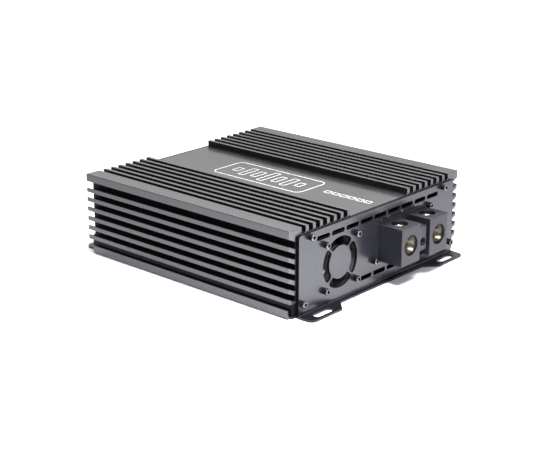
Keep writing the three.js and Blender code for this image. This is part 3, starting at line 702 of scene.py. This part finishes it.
PLATE = {"thick": PLATE_THICK, "half": 106.8, "top": 70.2, "bend": 1.0}
BEND_MIDDLE = PLATE["bend"] + PLATE["thick"] / 2
BEND_LONG = BEND_MIDDLE * pi / 2
BEND_TOP = PLATE["bend"] + PLATE["thick"]
BEND_X = PLATE_OUT + PLATE["bend"]
LIP_X, TAB_TIP, TAB_INNER = PLATE_OUT + 4, 138.0, 58.0
SLOT = {"x": 131.3, "y": 85.5, "long": 21.5, "wide": 6.8}
VENT = {"pitch": 18.8, "long": 15.8, "high": 3.4, "middle": -1.2, "top": 62.3, "low": 12.0}
CORNER_SCREWS = [(-93.0, 66.6), (89.2, 66.6), (-103.0, 12.4), (101.2, 12.0)]
FAN_Y, FAN_Z, FAN_HOLE = -54.5, 35.0, 20.0
FAN_SCREWS = [(FAN_Y + a * FAN_HOLE, FAN_Z + b * FAN_HOLE) for a, b in ((-1, 1), (1, 1), (-1, -1), (1, -1))]
BASE_SCREWS = [(-9.6, 23.6), (67.8, 54.9)]
SCREW_HOLE, KNOB_HOLE, JACK_HOLE, LIGHT_HOLE = 1.6, 5.0, 6.3, 1.8  # radii
SWITCH_SLOT = {"before": 2, "after": 6, "half": 1.7}  # about the slider's middle


def unrolled(x):
    """The height on the flat sheet of a point that lies at x on the bent foot."""
    return BEND_TOP - BEND_LONG - (x - BEND_X)


def plate_outline():
    half, top = PLATE["half"], PLATE["top"]
    tip, lip, inner = unrolled(TAB_TIP), unrolled(LIP_X), TAB_INNER
    rise = TAB_TIP - LIP_X
    side = [(half, top, 3.0), (half, tip, 6.5), (inner + rise, tip, 3.0), (inner, lip, 4.0)]
    points = side + [(-y, v, r) for y, v, r in reversed(side)]
    return fillet([(y, v) for y, v, _ in points], [r for _, _, r in points], 8)


def foot_slots():
    v = unrolled(SLOT["x"])
    reach, half, y = SLOT["long"] / 2, SLOT["wide"] / 2, SLOT["y"]
    return [rectangle(m - reach, m + reach, v - half, v + half, half * 0.99, 8) for m in (-y, y)]


def vent_row(first, last, z):
    reach, half = VENT["long"] / 2, VENT["high"] / 2
    middles = [VENT["middle"] + k * VENT["pitch"] for k in range(first, last + 1)]
    return [rectangle(y - reach, y + reach, z - half, z + half, half * 0.9, 5) for y in middles]


def fan_guard():
    """Four arcs of air between the guard's rim and its middle, with rounded ends."""
    inner, outer, spoke = 14.7, 21.9, 2.2
    mean = (inner + outer) / 2
    reach = (pi / 2 * mean - spoke) / 2
    arcs = []
    for quarter in range(4):
        corners = [(-reach, inner), (reach, inner), (reach, outer), (-reach, outer)]
        rounded = fillet(corners, 2.4, 6)
        dense = []
        for i, p in enumerate(rounded):
            after = rounded[(i + 1) % len(rounded)]
            parts = max(1, int((after - p).length / 1.5))
            dense += [p.lerp(after, k / parts) for k in range(parts)]
        bent = [(p.y, quarter * pi / 2 + p.x / mean) for p in dense]
        arcs.append([(FAN_Y + r * cos(a), FAN_Z + r * sin(a)) for r, a in bent])
    return arcs


def plate_place(way):
    """Carries a point of the flat sheet onto the bent plate: up its face, round its bend, along its foot."""

    def place(u, v, t):
        down = BEND_TOP - v
        if down <= 0:
            x, z = PLATE_IN + t, v
        elif down < BEND_LONG:
            a = down / BEND_MIDDLE
            r = BEND_TOP - t
            x, z = BEND_X - r * cos(a), BEND_TOP - r * sin(a)
        else:
            x, z = BEND_X + down - BEND_LONG, t
        return Vector((way * x, u, z))

    return place


def build_plate(node, holes, way):
    """A bent plate facing +X or -X by way: satin face, rims painted black as painted shade, and a foot
    painted darker as painted shade, with satin rims.
    """
    bm = bmesh.new()
    sheet(bm, plate_outline(), holes + foot_slots(), 0.0, PLATE["thick"], 0.4)
    for k in range(9):
        sliced(bm, (0, BEND_TOP - BEND_LONG * k / 8, 0), (0, 1, 0))
    bm.normal_update()
    # painted shade: the face's rims take the black painted shade and the foot the darker painted shade copy
    # of the satin finish
    for face in bm.faces:
        on_foot = face.calc_center_median().y < BEND_TOP - BEND_LONG / 2
        level = abs(face.normal.z)
        if on_foot:
            face.material_index = 0 if 0.5 < level < 0.95 else 2
        else:
            face.material_index = 1 if level < 0.95 else 0
    place = plate_place(way)
    for vert in bm.verts:
        vert.co = place(*vert.co)
    piece(node + "_sheet", bm, node, [SLOT_OF[node], "painted_shade_black", "foot_painted_shade"], replaces=[node])


WINDOW = {"y": 29.3, "half": 34.5, "low": 20.0, "high": 56.5}


def build_power_plate():
    holes = vent_row(-4, 4, VENT["top"]) + vent_row(-1, 4, VENT["low"]) + fan_guard()
    holes += [circle(y, z, SCREW_HOLE, 20) for y, z in CORNER_SCREWS + FAN_SCREWS + BASE_SCREWS]
    y, half = WINDOW["y"], WINDOW["half"]
    holes.append(rectangle(y - half, y + half, WINDOW["low"], WINDOW["high"], 1.5))
    build_plate("power_end_plate", holes, 1)


def hole_round(node):
    """An opening that clears a node's box by the gap."""
    low, high = span(node)
    return rectangle(low.y - GAP, high.y + GAP, low.z - GAP, high.z + GAP, 0.5)


KNOBS = ["gain_knob", "low_pass_knob", "subsonic_knob", "bass_boost_knob"]
JACKS = ["input_jack_1", "input_jack_2"]
CLAMP_SCREWS = ["speaker_clamp_screw_1", "speaker_clamp_screw_2"]


def build_signal_plate():
    holes = vent_row(-4, 4, VENT["top"]) + vent_row(-4, 4, VENT["low"])
    holes += [circle(y, z, SCREW_HOLE, 20) for y, z in CORNER_SCREWS]
    holes += [circle(middle(n).y, middle(n).z, KNOB_HOLE, 40) for n in KNOBS]
    holes += [circle(middle(n).y, middle(n).z, JACK_HOLE, 40) for n in JACKS]
    holes += [hole_round("remote_level_port"), hole_round("speaker_terminal")]
    slider, half = middle("phase_switch_slider"), SWITCH_SLOT["half"]
    y0, y1 = slider.y - SWITCH_SLOT["before"], slider.y + SWITCH_SLOT["after"]
    holes.append(rectangle(y0, y1, slider.z - half, slider.z + half, 0.5))
    light = middle("status_light")
    holes.append(circle(light.y, light.z, LIGHT_HOLE, 20))
    build_plate("signal_end_plate", holes, -1)


# ---- Fasteners ----

HEAD = 4.4  # how far a screw head stands out


def cap_screw(node, y, z, long, way):
    """A socket-head screw: knurled head, chamfered rim and a hexagon with a drilled bottom."""
    knurl = fluted(2.75, 24, 0.09)
    stations = [(0, -long), (1.0, -long), (1.28, 0.3 - long), (1.28, -0.1), (2.5, 0.0), (2.7, 0.12)]
    stations += [(knurl, 0.3), (knurl, HEAD - 0.7), (2.68, HEAD - 0.5), (2.35, HEAD - 0.1), (2.2, HEAD)]
    stations += [(1.75, HEAD), (1.6, HEAD - 0.1), (hexagon(2.52), HEAD - 0.3), (hexagon(2.5), HEAD - 1.65)]
    stations += [(1.1, HEAD - 1.7), (0, HEAD - 2.1)]
    bm = bmesh.new()
    seat = PLATE_OUT + 0.1
    turned(bm, stations, along_x(way * seat, y, z, way), 72)
    # painted highlight: the head's outer ring takes the bright rim finish
    for face in bm.faces:
        c = face.calc_center_median()
        painted_highlight_ring = abs(c.x) > seat + HEAD - 0.6 and hypot(c.y - y, c.z - z) > 1.9
        face.material_index = 1 if painted_highlight_ring else 0
    piece(node + "_cap", bm, node, [SLOT_OF[node], "screw_rim_painted_highlight"], replaces=[node], sharp=30)


def set_screw(node, across, pitch):
    """A threaded set screw with a chamfered rim, a hexagon socket and a cupped point."""
    low, high = span(node)
    radius, tall = (high.x - low.x) / 2, high.z - low.z
    deep = tall * 0.55
    stations = [(0, 0.9), (radius - 2.2 * pitch / 1.5, 0.0), (radius - 0.9 * pitch / 1.5, 0.15)]
    stations += thread(radius - pitch * 0.35, pitch * 0.6, tall - pitch * 0.4, pitch, pitch * 0.33)
    stations += [(radius - pitch * 0.5, tall - 0.2), (radius - pitch * 0.62, tall), (across / 2 * 1.22, tall)]
    stations += [(hexagon(across * 1.04), tall - 0.35), (hexagon(across), tall - 0.6)]
    stations += [(hexagon(across), tall - deep)]
    stations += [(across * 0.35, tall - deep - 0.05), (0, tall - deep - across * 0.12)]
    bm = bmesh.new()
    turned(bm, stations, along_z(middle(node).x, middle(node).y, low.z), 48)
    piece(node + "_thread", bm, node, replaces=[node], sharp=30)


def build_fasteners():
    for i, (y, z) in enumerate(CORNER_SCREWS):
        cap_screw(f"power_plate_screw_{i + 1}", y, z, 12, 1)
        cap_screw(f"signal_plate_screw_{i + 1}", y, z, 12, -1)
    for i, (y, z) in enumerate(FAN_SCREWS):
        cap_screw(f"fan_screw_{i + 1}", y, z, 14, 1)
    for i, (y, z) in enumerate(BASE_SCREWS):
        cap_screw(f"terminal_base_screw_{i + 1}", y, z, 10, 1)
    for node in ("negative_set_screw", "positive_set_screw"):
        set_screw(node, 6.0, 1.5)
    set_screw("remote_set_screw", 2.0, 0.7)
    for node in CLAMP_SCREWS:
        set_screw(node, 3.2, 0.8)


# ---- Power terminals ----

POWER_BORES = {"bore": 7.75, "mouth": 9.3, "bore_z": 38.25, "bore_end": 126.0, "lining": "bore_nickel_painted_shade"}
POWER_BORES |= {"hole": 7.0, "hole_x": 135.7, "pitch": 1.5}
REMOTE_BORES = {"bore": 3.2, "mouth": 3.9, "bore_z": 36.0, "bore_end": 126.0, "lining": "black_steel_screw"}
REMOTE_BORES |= {"hole": 2.6, "hole_x": 138.0, "pitch": 0.7}


def build_terminal(node, bore, mouth, bore_z, bore_end, hole, hole_x, pitch, lining):
    """A block with a threaded, chamfered cable bore and a threaded set-screw hole."""
    low, high = span(node)
    y = (low.y + high.y) / 2
    front, top = high.x, high.z
    body = bmesh.new()
    brick(body, low, high, 0.55, 3)
    chamfer = mouth - bore
    tunnel = bmesh.new()
    deep = front - bore_end
    stations = [(0, 0), (bore * 0.6, 0.0), (bore, 1.2)]
    stations += thread(bore, 1.6, deep - chamfer, pitch, -pitch * 0.3)
    stations += [(mouth - 0.15, deep - 0.12), (mouth + 0.25, deep + 0.2), (mouth + 0.3, deep + 1)]
    stations += [(0, deep + 1)]
    turned(tunnel, stations, along_x(bore_end, y, bore_z), 56)
    shaft = bmesh.new()
    tall = top - bore_z
    stations = [(0, 0), (hole, 0.0)]
    stations += thread(hole, 0.5, tall - 0.8, pitch, -pitch * 0.16)
    stations += [(hole + 0.1, tall - 0.4), (hole + 0.5, tall + 0.05), (hole + 0.5, tall + 1), (0, tall + 1)]
    turned(shaft, stations, along_z(hole_x, y, bore_z), 56)
    solid = carved(body, tunnel, shaft)
    # painted shade: the bore's lining takes the darkened nickel, and the mouth's chamfer and the set-screw
    # hole's walls take the black painted shade
    for face in solid.faces:
        c = face.calc_center_median()
        from_bore = hypot(c.y - y, c.z - bore_z)
        in_mouth = from_bore < mouth - 0.1 and bore_end - 1 < c.x < front - 0.1
        in_shaft = hypot(c.x - hole_x, c.y - y) < hole + 0.3 and bore_z < c.z < top - 0.1
        if from_bore < bore + 0.05 and bore_end + 0.2 < c.x < front - chamfer - 0.1:
            face.material_index = 1
        else:
            face.material_index = 2 if in_mouth or in_shaft else 0
    finishes = [SLOT_OF[node], lining, "painted_shade_black"]
    piece(node + "_block", solid, node, finishes, replaces=[node], sharp=32)


def build_terminals():
    for node in ("negative_power_terminal", "positive_power_terminal"):
        build_terminal(node, **POWER_BORES)
    build_terminal("remote_terminal", **REMOTE_BORES)
    for node in ("terminal_insulator", "negative_busbar", "positive_busbar"):
        soften(node, 0.35)


# ---- Cooling fan ----

FAN_BACK = END - 15
FAN_HALF, DUCT, DUCT_WALL = 25, 24, 0.9
FAN_POST, FAN_BORE = 3.4, 1.7  # radii
BLADES, BLADE_ROOT, BLADE_TIP = 7, 12.6, 22.9


def fan_frame_form():
    outer = rectangle(FAN_Y - FAN_HALF, FAN_Y + FAN_HALF, FAN_Z - FAN_HALF, FAN_Z + FAN_HALF, 4.5, 6)
    holes = [circle(FAN_Y, FAN_Z, DUCT, 72)] + [circle(y, z, FAN_BORE, 16) for y, z in FAN_SCREWS]
    bm = bmesh.new()
    sheet(bm, outer, holes, FAN_BACK, FAN_BACK + 3, 0.3, lengthwise)
    sheet(bm, outer, holes, END - 3, END - 0.05, 0.3, lengthwise)
    ring = circle(FAN_Y, FAN_Z, DUCT + DUCT_WALL, 72)
    sheet(bm, ring, [circle(FAN_Y, FAN_Z, DUCT, 72)], FAN_BACK + 2.5, END - 2.5, 0.15, lengthwise)
    for y, z in FAN_SCREWS:
        post, bore = circle(y, z, FAN_POST, 24), circle(y, z, FAN_BORE, 16)
        sheet(bm, post, [bore], FAN_BACK + 2.5, END - 2.5, 0.1, lengthwise)
    hub = [(0, 0.3), (11.4, 0.3), (11.8, 0.6), (12, 1.2), (11.8, 2.0), (3.2, 2.1), (3.2, 9.6)]
    hub += [(3.0, 10), (1.9, 10), (1.9, 1.5), (0, 1.5)]
    turned(bm, hub, along_x(FAN_BACK, FAN_Y, FAN_Z), 48)
    for k in range(4):
        a = radians(20 + 90 * k)
        along = Vector((0, cos(a), sin(a)))
        across = Vector((0, -sin(a), cos(a)))
        place = lambda u, v, t: Vector((FAN_BACK + v, FAN_Y, FAN_Z)) + across * u + along * t
        arm = [(-1.6, 0.3), (1.6, 0.3), (1.3, 2.0), (-1.3, 2.0)]
        sheet(bm, fillet(arm, 0.4, 2), [], 11.0, 24.4, 0.1, place)
    return bm


def fan_rotor_form():
    front = END - 1.5
    back = FAN_BACK + 2.6
    long = front - back
    place = along_x(back, FAN_Y, FAN_Z)
    bm = bmesh.new()
    cup = [(0, long - 1.5), (11.2, long - 1.5), (11.5, long - 1.9), (11.5, 0.0), (12.8, 0.0), (13, 0.25)]
    cup += [(13, long - 1.6), (12.7, long - 0.6), (12.0, long - 0.1), (11.0, long), (0, long)]
    turned(bm, cup, place, 64)
    turned(bm, [(0, 0.2), (1.2, 0.2), (1.5, 0.5), (1.5, long - 1.3), (0, long - 1.3)], place, 16)
    centre = (front + back) / 2
    for k in range(BLADES):
        loops = []
        for step in range(9):
            t = step / 8
            reach = BLADE_ROOT + (BLADE_TIP - BLADE_ROOT) * t
            pitch = radians(40 - 9 * t)
            lean = 2 * pi * k / BLADES + radians(15) * t * t
            chord = 9.6 + 0.9 * sin(pi * t * 0.8)
            loop = []
            for side in (1, -1):
                for i in range(6):
                    c = (i / 5 - 0.5) * side
                    thick = side * (0.55 * sqrt(max(0.0, 0.25 - c * c)) * 1.6 + 0.08)
                    h = 0.9 - 3.8 * c * c + thick * (1 - 0.35 * t)
                    axial = c * chord * cos(pitch) - h * sin(pitch)
                    around = c * chord * sin(pitch) + h * cos(pitch)
                    a = lean + around / reach
                    y, z = FAN_Y - reach * sin(a), FAN_Z + reach * cos(a)
                    loop.append(bm.verts.new((centre + axial, y, z)))
            loops.append(loop)
        for a, b in zip(loops, loops[1:]):
            join_rings(bm, a, b)
        bm.faces.new(loops[0])
        bm.faces.new(loops[-1])
    return bm


def build_fan():
    piece("fan_shroud", fan_frame_form(), "fan_frame", replaces=["fan_frame"])
    piece("fan_impeller", fan_rotor_form(), "fan_rotor", replaces=["fan_rotor"])
    badge = bmesh.new()
    rim = [(0, 0.0), (9.5, 0.0), (9.7, 0.03), (9.5, 0.08), (7.4, 0.08), (7.3, 0.05), (0, 0.05)]
    turned(badge, rim, along_x(END - 1.5, FAN_Y, FAN_Z), 48)
    piece("fan_badge", badge, "fan_rotor", ["can_top"])
    soften("fan_stator", 0.4)


# ---- Electronics ----


def capacitor(node):
    """A sleeved can: a rolled groove near its foot, the sleeve's lip, and a ribbed aluminium top."""
    low, high = span(node)
    c, r, tall = (low + high) / 2, (high.x - low.x) / 2, high.z - low.z
    bm = bmesh.new()
    stations = [(0, 0), (r - 0.8, 0), (r - 0.1, 0.5), (r, 1.2), (r, 2.6), (r - 0.7, 3.2)]
    stations += [(r - 0.7, 3.8), (r, 4.4), (r, tall - 1.2), (r - 0.25, tall - 0.5)]
    stations += [(r - 0.9, tall - 0.05), (r - 1.6, tall - 0.1), (r - 1.7, tall - 0.45), (0, tall - 0.45)]
    turned(bm, stations, along_z(c.x, c.y, low.z), 56)
    piece(node + "_sleeve", bm, node, replaces=[node])
    top = bmesh.new()
    lid = [(0, 0), (r - 1.7, 0), (r - 1.8, 0.25), (0, 0.25)]
    turned(top, lid, along_z(c.x, c.y, high.z - 0.46), 48)
    for turn in range(3):
        a = radians(60 * turn)
        d = Vector((cos(a), sin(a), 0))
        centre = Vector((c.x, c.y, high.z - 0.2))
        tube(top, [centre - d * (r - 2.6), centre, centre + d * (r - 2.6)], 0.14)
    piece(node + "_top", top, node, ["can_top"])


def wound_ring(node, wall, turns, wire):
    """A painted ring core, wall thick from bore to rim, wound with enamelled wire, turn by turn."""
    low, high = span(node)
    c, outer, tall = (low + high) / 2, (high.x - low.x) / 2, high.z - low.z
    inner = outer - wall
    core_in, core_out = inner + 2 * wire, outer - 2 * wire
    z0, z1, e = 2 * wire, tall - 2 * wire, 2.2
    stations = [(core_in, z0 + e), (core_in + e * 0.3, z0 + e * 0.3), (core_in + e, z0)]
    stations += [(core_out - e, z0), (core_out - e * 0.3, z0 + e * 0.3), (core_out, z0 + e)]
    stations += [(core_out, z1 - e), (core_out - e * 0.3, z1 - e * 0.3), (core_out - e, z1)]
    stations += [(core_in + e, z1), (core_in + e * 0.3, z1 - e * 0.3), (core_in, z1 - e)]
    bm = bmesh.new()
    rings = []
    for r, d in stations:
        rings.append([bm.verts.new((u, v, low.z + d)) for u, v in circle(c.x, c.y, r, 48)])
    for a, b in zip(rings, rings[1:] + rings[:1]):
        join_rings(bm, a, b)
    piece(node + "_core", bm, node, replaces=[node])
    wires = bmesh.new()
    loop = rectangle(inner + wire, outer - wire, wire, tall - wire, 3.2, 4)
    for a in angles(turns):
        out = Vector((cos(a), sin(a), 0))
        path = [Vector((c.x, c.y, low.z + p.y)) + out * p.x for p in loop]
        tube(wires, path, wire * 0.94, closed=True)
    piece(node + "_winding", wires, node, ["enamelled_wire"])


def build_electronics():
    for i in range(3):
        capacitor(f"input_capacitor_{i + 1}")
    for i in range(2):
        capacitor(f"rail_capacitor_{i + 1}")
        wound_ring(f"power_transformer_{i + 1}", 15, 30, 0.85)
        soften(f"transistor_clamp_{i + 1}", 0.6)
    wound_ring("output_inductor", 14, 26, 0.85)
    for i in range(6):
        soften(f"power_transistor_{i + 1}", 0.25, 1)
    soften("main_board", 0.2, 1)
    soften("signal_board", 0.25, 1)


# ---- Signal end ----


def outwards(node):
    """A node's half width and length, and a place for shapes turned outwards from its root."""
    low, high = span(node)
    place = along_x(high.x, (low.y + high.y) / 2, (low.z + high.z) / 2, -1)
    return (high.y - low.y) / 2, high.x - low.x, place


def jack(node, ring):
    """A plated shell with a collar, a groove and a hollow mouth, and a coloured core with a hole."""
    _, long, place = outwards(node)
    shell = bmesh.new()
    face = PLATE_OUT + 0.8 + span(node)[1].x
    stations = [(0, 0), (5.6, 0.0), (6, 0.4), (6, face - 0.4), (5.7, face), (4.6, face)]
    stations += [(4.15, face + 0.15), (4.15, face + 1.2), (3.95, face + 1.5), (3.95, face + 2.0)]
    stations += [(4.15, face + 2.3)]
    stations += [(4.15, long - 0.5), (3.9, long), (3.55, long), (3.3, long - 0.3), (3.3, 4.0), (0, 4.0)]
    turned(shell, stations, place, 48)
    piece(node + "_shell", shell, node, replaces=[node])
    core = bmesh.new()
    stations = [(0, 4.0), (3.25, 4.0), (3.25, long - 1.5), (3.0, long - 1.2), (1.8, long - 1.2)]
    stations += [(1.7, long - 0.9), (1.4, long - 0.8), (0.8, long - 0.8), (0.75, long - 1.1)]
    stations += [(0.75, 8.0), (0, 8.0)]
    turned(core, stations, place, 40)
    piece(node + "_core", core, node, [ring])


def control_knob(node):
    """A knob with a fluted side, a dished face, a slot for a blade and a pale pointer line."""
    r, long, place = outwards(node)
    front, y, z = span(node)[0].x, middle(node).y, middle(node).z
    body = bmesh.new()
    side = fluted(r - 0.02, 18, 0.28)
    stations = [(0, 0), (r - 0.5, 0), (r - 0.2, 0.2), (side, 0.5), (side, long - 0.9)]
    stations += [(r - 0.5, long - 0.25), (r - 0.9, long), (r - 1.2, long), (r - 1.5, long - 0.2)]
    stations += [(0, long - 0.25)]
    turned(body, stations, place, 72)
    slot = bmesh.new()
    brick(slot, (front - 1, y - 3.0, z - 0.55), (front + 1.4, y + 3.0, z + 0.55), 0.12, 1)
    piece(node + "_cap", carved(body, slot), node, replaces=[node], sharp=30)
    line = bmesh.new()
    brick(line, (front + 0.02, y - 0.3, z + 1.5), (front + 0.42, y + 0.3, z + 3.4), 0.08, 1)
    piece(node + "_pointer", line, node, ["print_white"])


def switch_tab(node):
    """A slider whose outer face has four finger grooves."""
    low, high = span(node)
    comb = [(low.y, high.x), (high.y, high.x)]
    for k in range(4):
        y = high.y - (k + 0.5) * (high.y - low.y) / 4
        comb += [(y + 0.3, low.x), (y + 0.15, low.x), (y, low.x + 0.4), (y - 0.15, low.x), (y - 0.3, low.x)]
    bm = bmesh.new()
    sheet(bm, comb, [], low.z, high.z, 0.05, lambda u, v, t: (v, u, t))
    piece("phase_switch_tab", bm, node, replaces=[node])


def status_lens(node):
    """A lamp with a flattened dome."""
    r, long, place = outwards(node)
    bm = bmesh.new()
    rise = r * 0.75
    dome = [(r * cos(a), long - rise + rise * sin(a)) for a in (0, 0.3, 0.6, 0.9, 1.2, 1.45)]
    turned(bm, [(0, 0), (r, 0)] + dome + [(0, long)], place, 32)
    piece("status_lens", bm, node, replaces=[node])


def port_contacts(node):
    """Six sprung wires inside the remote level socket."""
    low, high = span(node)
    profile = [(1.2, high.z - 3.2), (3, high.z - 3.4), (9.5, low.z + 5.2), (10.6, low.z + 5.0)]
    bm = bmesh.new()
    for k in range(6):
        y = middle(node).y + (k - 2.5) * 1.3
        tube(bm, [Vector((low.x + d, y, z)) for d, z in profile], 0.22)
    piece("remote_port_contacts", bm, node, ["gold_plate"])


def build_signal_end():
    jack(JACKS[0], "ring_white")
    jack(JACKS[1], "ring_red")
    for node in KNOBS:
        control_knob(node)
    switch_tab("phase_switch_slider")
    status_lens("status_light")
    port_contacts("remote_level_port")
    soften("remote_level_port", 0.35)
    soften("speaker_terminal", 0.5)


# ---- Printed marks ----


INK_LIFT = 0.005  # between a print and the face that it is on


def ink(bm, outline, place, holes=()):
    """A thin printed shape."""
    sheet(bm, outline, list(holes), 0.0, 0.06, 0.01, place, 1)


def outlined(bm, points, width, place):
    """A closed printed line of even width along an outline."""
    loop = flat_loop(points)
    ink(bm, shifted(loop, -width / 2), place, [shifted(loop, width / 2)])


def dash(a, b, width):
    """The outline of a straight line from a to b."""
    ahead = (b - a).normalized()
    side = Vector((-ahead.y, ahead.x)) * (width / 2)
    return [a + side, b + side, b - side, a - side]


def bar(u, v, half_long, half_high):
    return rectangle(u - half_long, u + half_long, v - half_high, v + half_high)


def build_top_motif():
    """A plain ornament on the middle panel: a frame round a row of level bars, and a row of boxes."""
    bm = bmesh.new()
    place = lambda u, v, t: (u, v, TOP_FIN["floor"] + INK_LIFT + t)
    frame_x, bar_pitch, first_box, box_pitch = -5, 12.5, 61.6, 8.8
    outlined(bm, rectangle(frame_x - 52, frame_x + 52, -20, 20, 6, 6), 0.6, place)
    for k in range(-3, 4):
        x = frame_x + bar_pitch * k
        reach = (13.5, 8, 11, 5)[abs(k)]
        outlined(bm, rectangle(x - 3, x + 3, -reach, reach, 0.5, 2), 0.5, place)
    for k in range(6):
        x = first_box + box_pitch * k
        outlined(bm, rectangle(x, x + 6, -2.6, 2.6, 0.3, 2), 0.45, place)
    piece("panel_motif", bm, "heatsink", ["print_white"])


def build_power_marks():
    """A plus, a ring and a minus above the terminals."""
    place = lambda u, v, t: (PLATE_OUT + INK_LIFT + t, u, v)
    plus_y, ring_y, minus_y, z = WINDOW["y"] + 20, WINDOW["y"], WINDOW["y"] - 20, 58.8
    cross = [(-1.2, -0.18), (-0.18, -0.18), (-0.18, -1.2), (0.18, -1.2), (0.18, -0.18), (1.2, -0.18)]
    cross += [(-u, -v) for u, v in cross]
    bm = bmesh.new()
    ink(bm, [(plus_y + u, z + v) for u, v in cross], place)
    ink(bm, bar(minus_y, z, 1.2, 0.18), place)
    ink(bm, circle(ring_y, z, 1.1, 24), place, [circle(ring_y, z, 0.7, 24)])
    piece("power_plate_marks", bm, "power_end_plate", ["print_grey"])


def build_signal_marks():
    """A dial round each knob, a frame round the jacks, and a minus and a plus above the clamps."""
    place = lambda u, v, t: (-PLATE_OUT - INK_LIFT - t, u, v)
    bm = bmesh.new()
    for node in KNOBS:
        c = middle(node).yz
        for k in range(11):
            a = radians(140 - 28 * k)
            d = Vector((sin(a), cos(a)))
            ink(bm, dash(c + d * 6.0, c + d * (7.6 if k % 5 == 0 else 7.0), 0.35), place)
    c = (middle(JACKS[0]) + middle(JACKS[1])) / 2
    outlined(bm, rectangle(c.y - 18, c.y + 18, c.z - 9, c.z + 9, 2.5), 0.4, place)
    z = 47
    for node in CLAMP_SCREWS:
        ink(bm, bar(middle(node).y, z, 1.4, 0.25), place)
    for way in (-1, 1):
        ink(bm, bar(middle(CLAMP_SCREWS[1]).y, z + way * 0.85, 0.25, 0.55), place)
    piece("signal_plate_marks", bm, "signal_end_plate", ["print_white"])


# ---- Stage ----


def build_stage():
    floor = add_object("floor", bpy.data.meshes.new("floor"))
    bm = bmesh.new()
    bmesh.ops.create_grid(bm, x_segments=8, y_segments=8, size=6.0)
    bm.to_mesh(floor.data)
    bm.free()
    s = finish("floor_pale", Metallic=0.0, Specular_IOR_Level=0.2, Roughness=0.9)
    s.set(Base_Color=s.mix(s.noise(0.002), (0.8, 0.81, 0.86), (0.82, 0.83, 0.88)))
    floor.data.materials.append(s.owner)


def softbox(name, at, target, size, power):
    light = bpy.data.lights.new(name, "AREA")
    light.shape = "RECTANGLE"
    light.size, light.size_y = size
    light.energy = power
    made = add_object(name, light)
    made.location = at
    made.rotation_euler = (Vector(target) - Vector(at)).to_track_quat("-Z", "Y").to_euler()


# Each lobe: its direction, the cosines from it where it starts and where it is full, its strength.
WORLD_LOBES = [
    ((0, 0, 1), -3.0, -2.0, 0.3),
    ((-0.113, -0.095, 0.989), 0.235, 0.33, 1.5),
    ((0, 0, 1), 0.4, 0.75, -1.1),
]


def build_world():
    """Soft studio surround: dim low down, a bright band above that, and a softer zenith."""
    world = bpy.data.worlds.new("studio")
    s = Shader(world, "OutputWorld", "Background", "Generated", Color=(1, 1, 1))
    total = 0.0
    for direction, start, full, strength in WORLD_LOBES:
        facing = s.dot(s.where, Vector(direction).normalized())
        total = s.math("ADD", total, s.spread(facing, start, full, 0.0, strength))
    s.set(Strength=total)
    bpy.context.scene.world = world


def build_camera():
    data = bpy.data.cameras.new("camera")
    data.sensor_width = 36
    data.lens = 83.9
    camera = add_object("camera", data)
    camera.location = (0.7365, -0.8263, 0.3991)
    camera.rotation_euler = (radians(71.40), 0, radians(41.81))
    bpy.context.scene.camera = camera


build_camera()
build_world()
build_stage()
softbox("key", (-0.6, 0.75, 1.5), (0, 0, 0), (0.8, 0.6), 26)
softbox("pool", (0.3, -0.15, 0.45), (0.3, -0.15, 0), (0.15, 0.15), 9)
bpy.context.scene.view_settings.view_transform = "Standard"

build_heatsink()
build_cover()
build_power_plate()
build_signal_plate()
build_fasteners()
build_terminals()
build_fan()
build_electronics()
build_signal_end()
build_top_motif()
build_power_marks()
build_signal_marks()
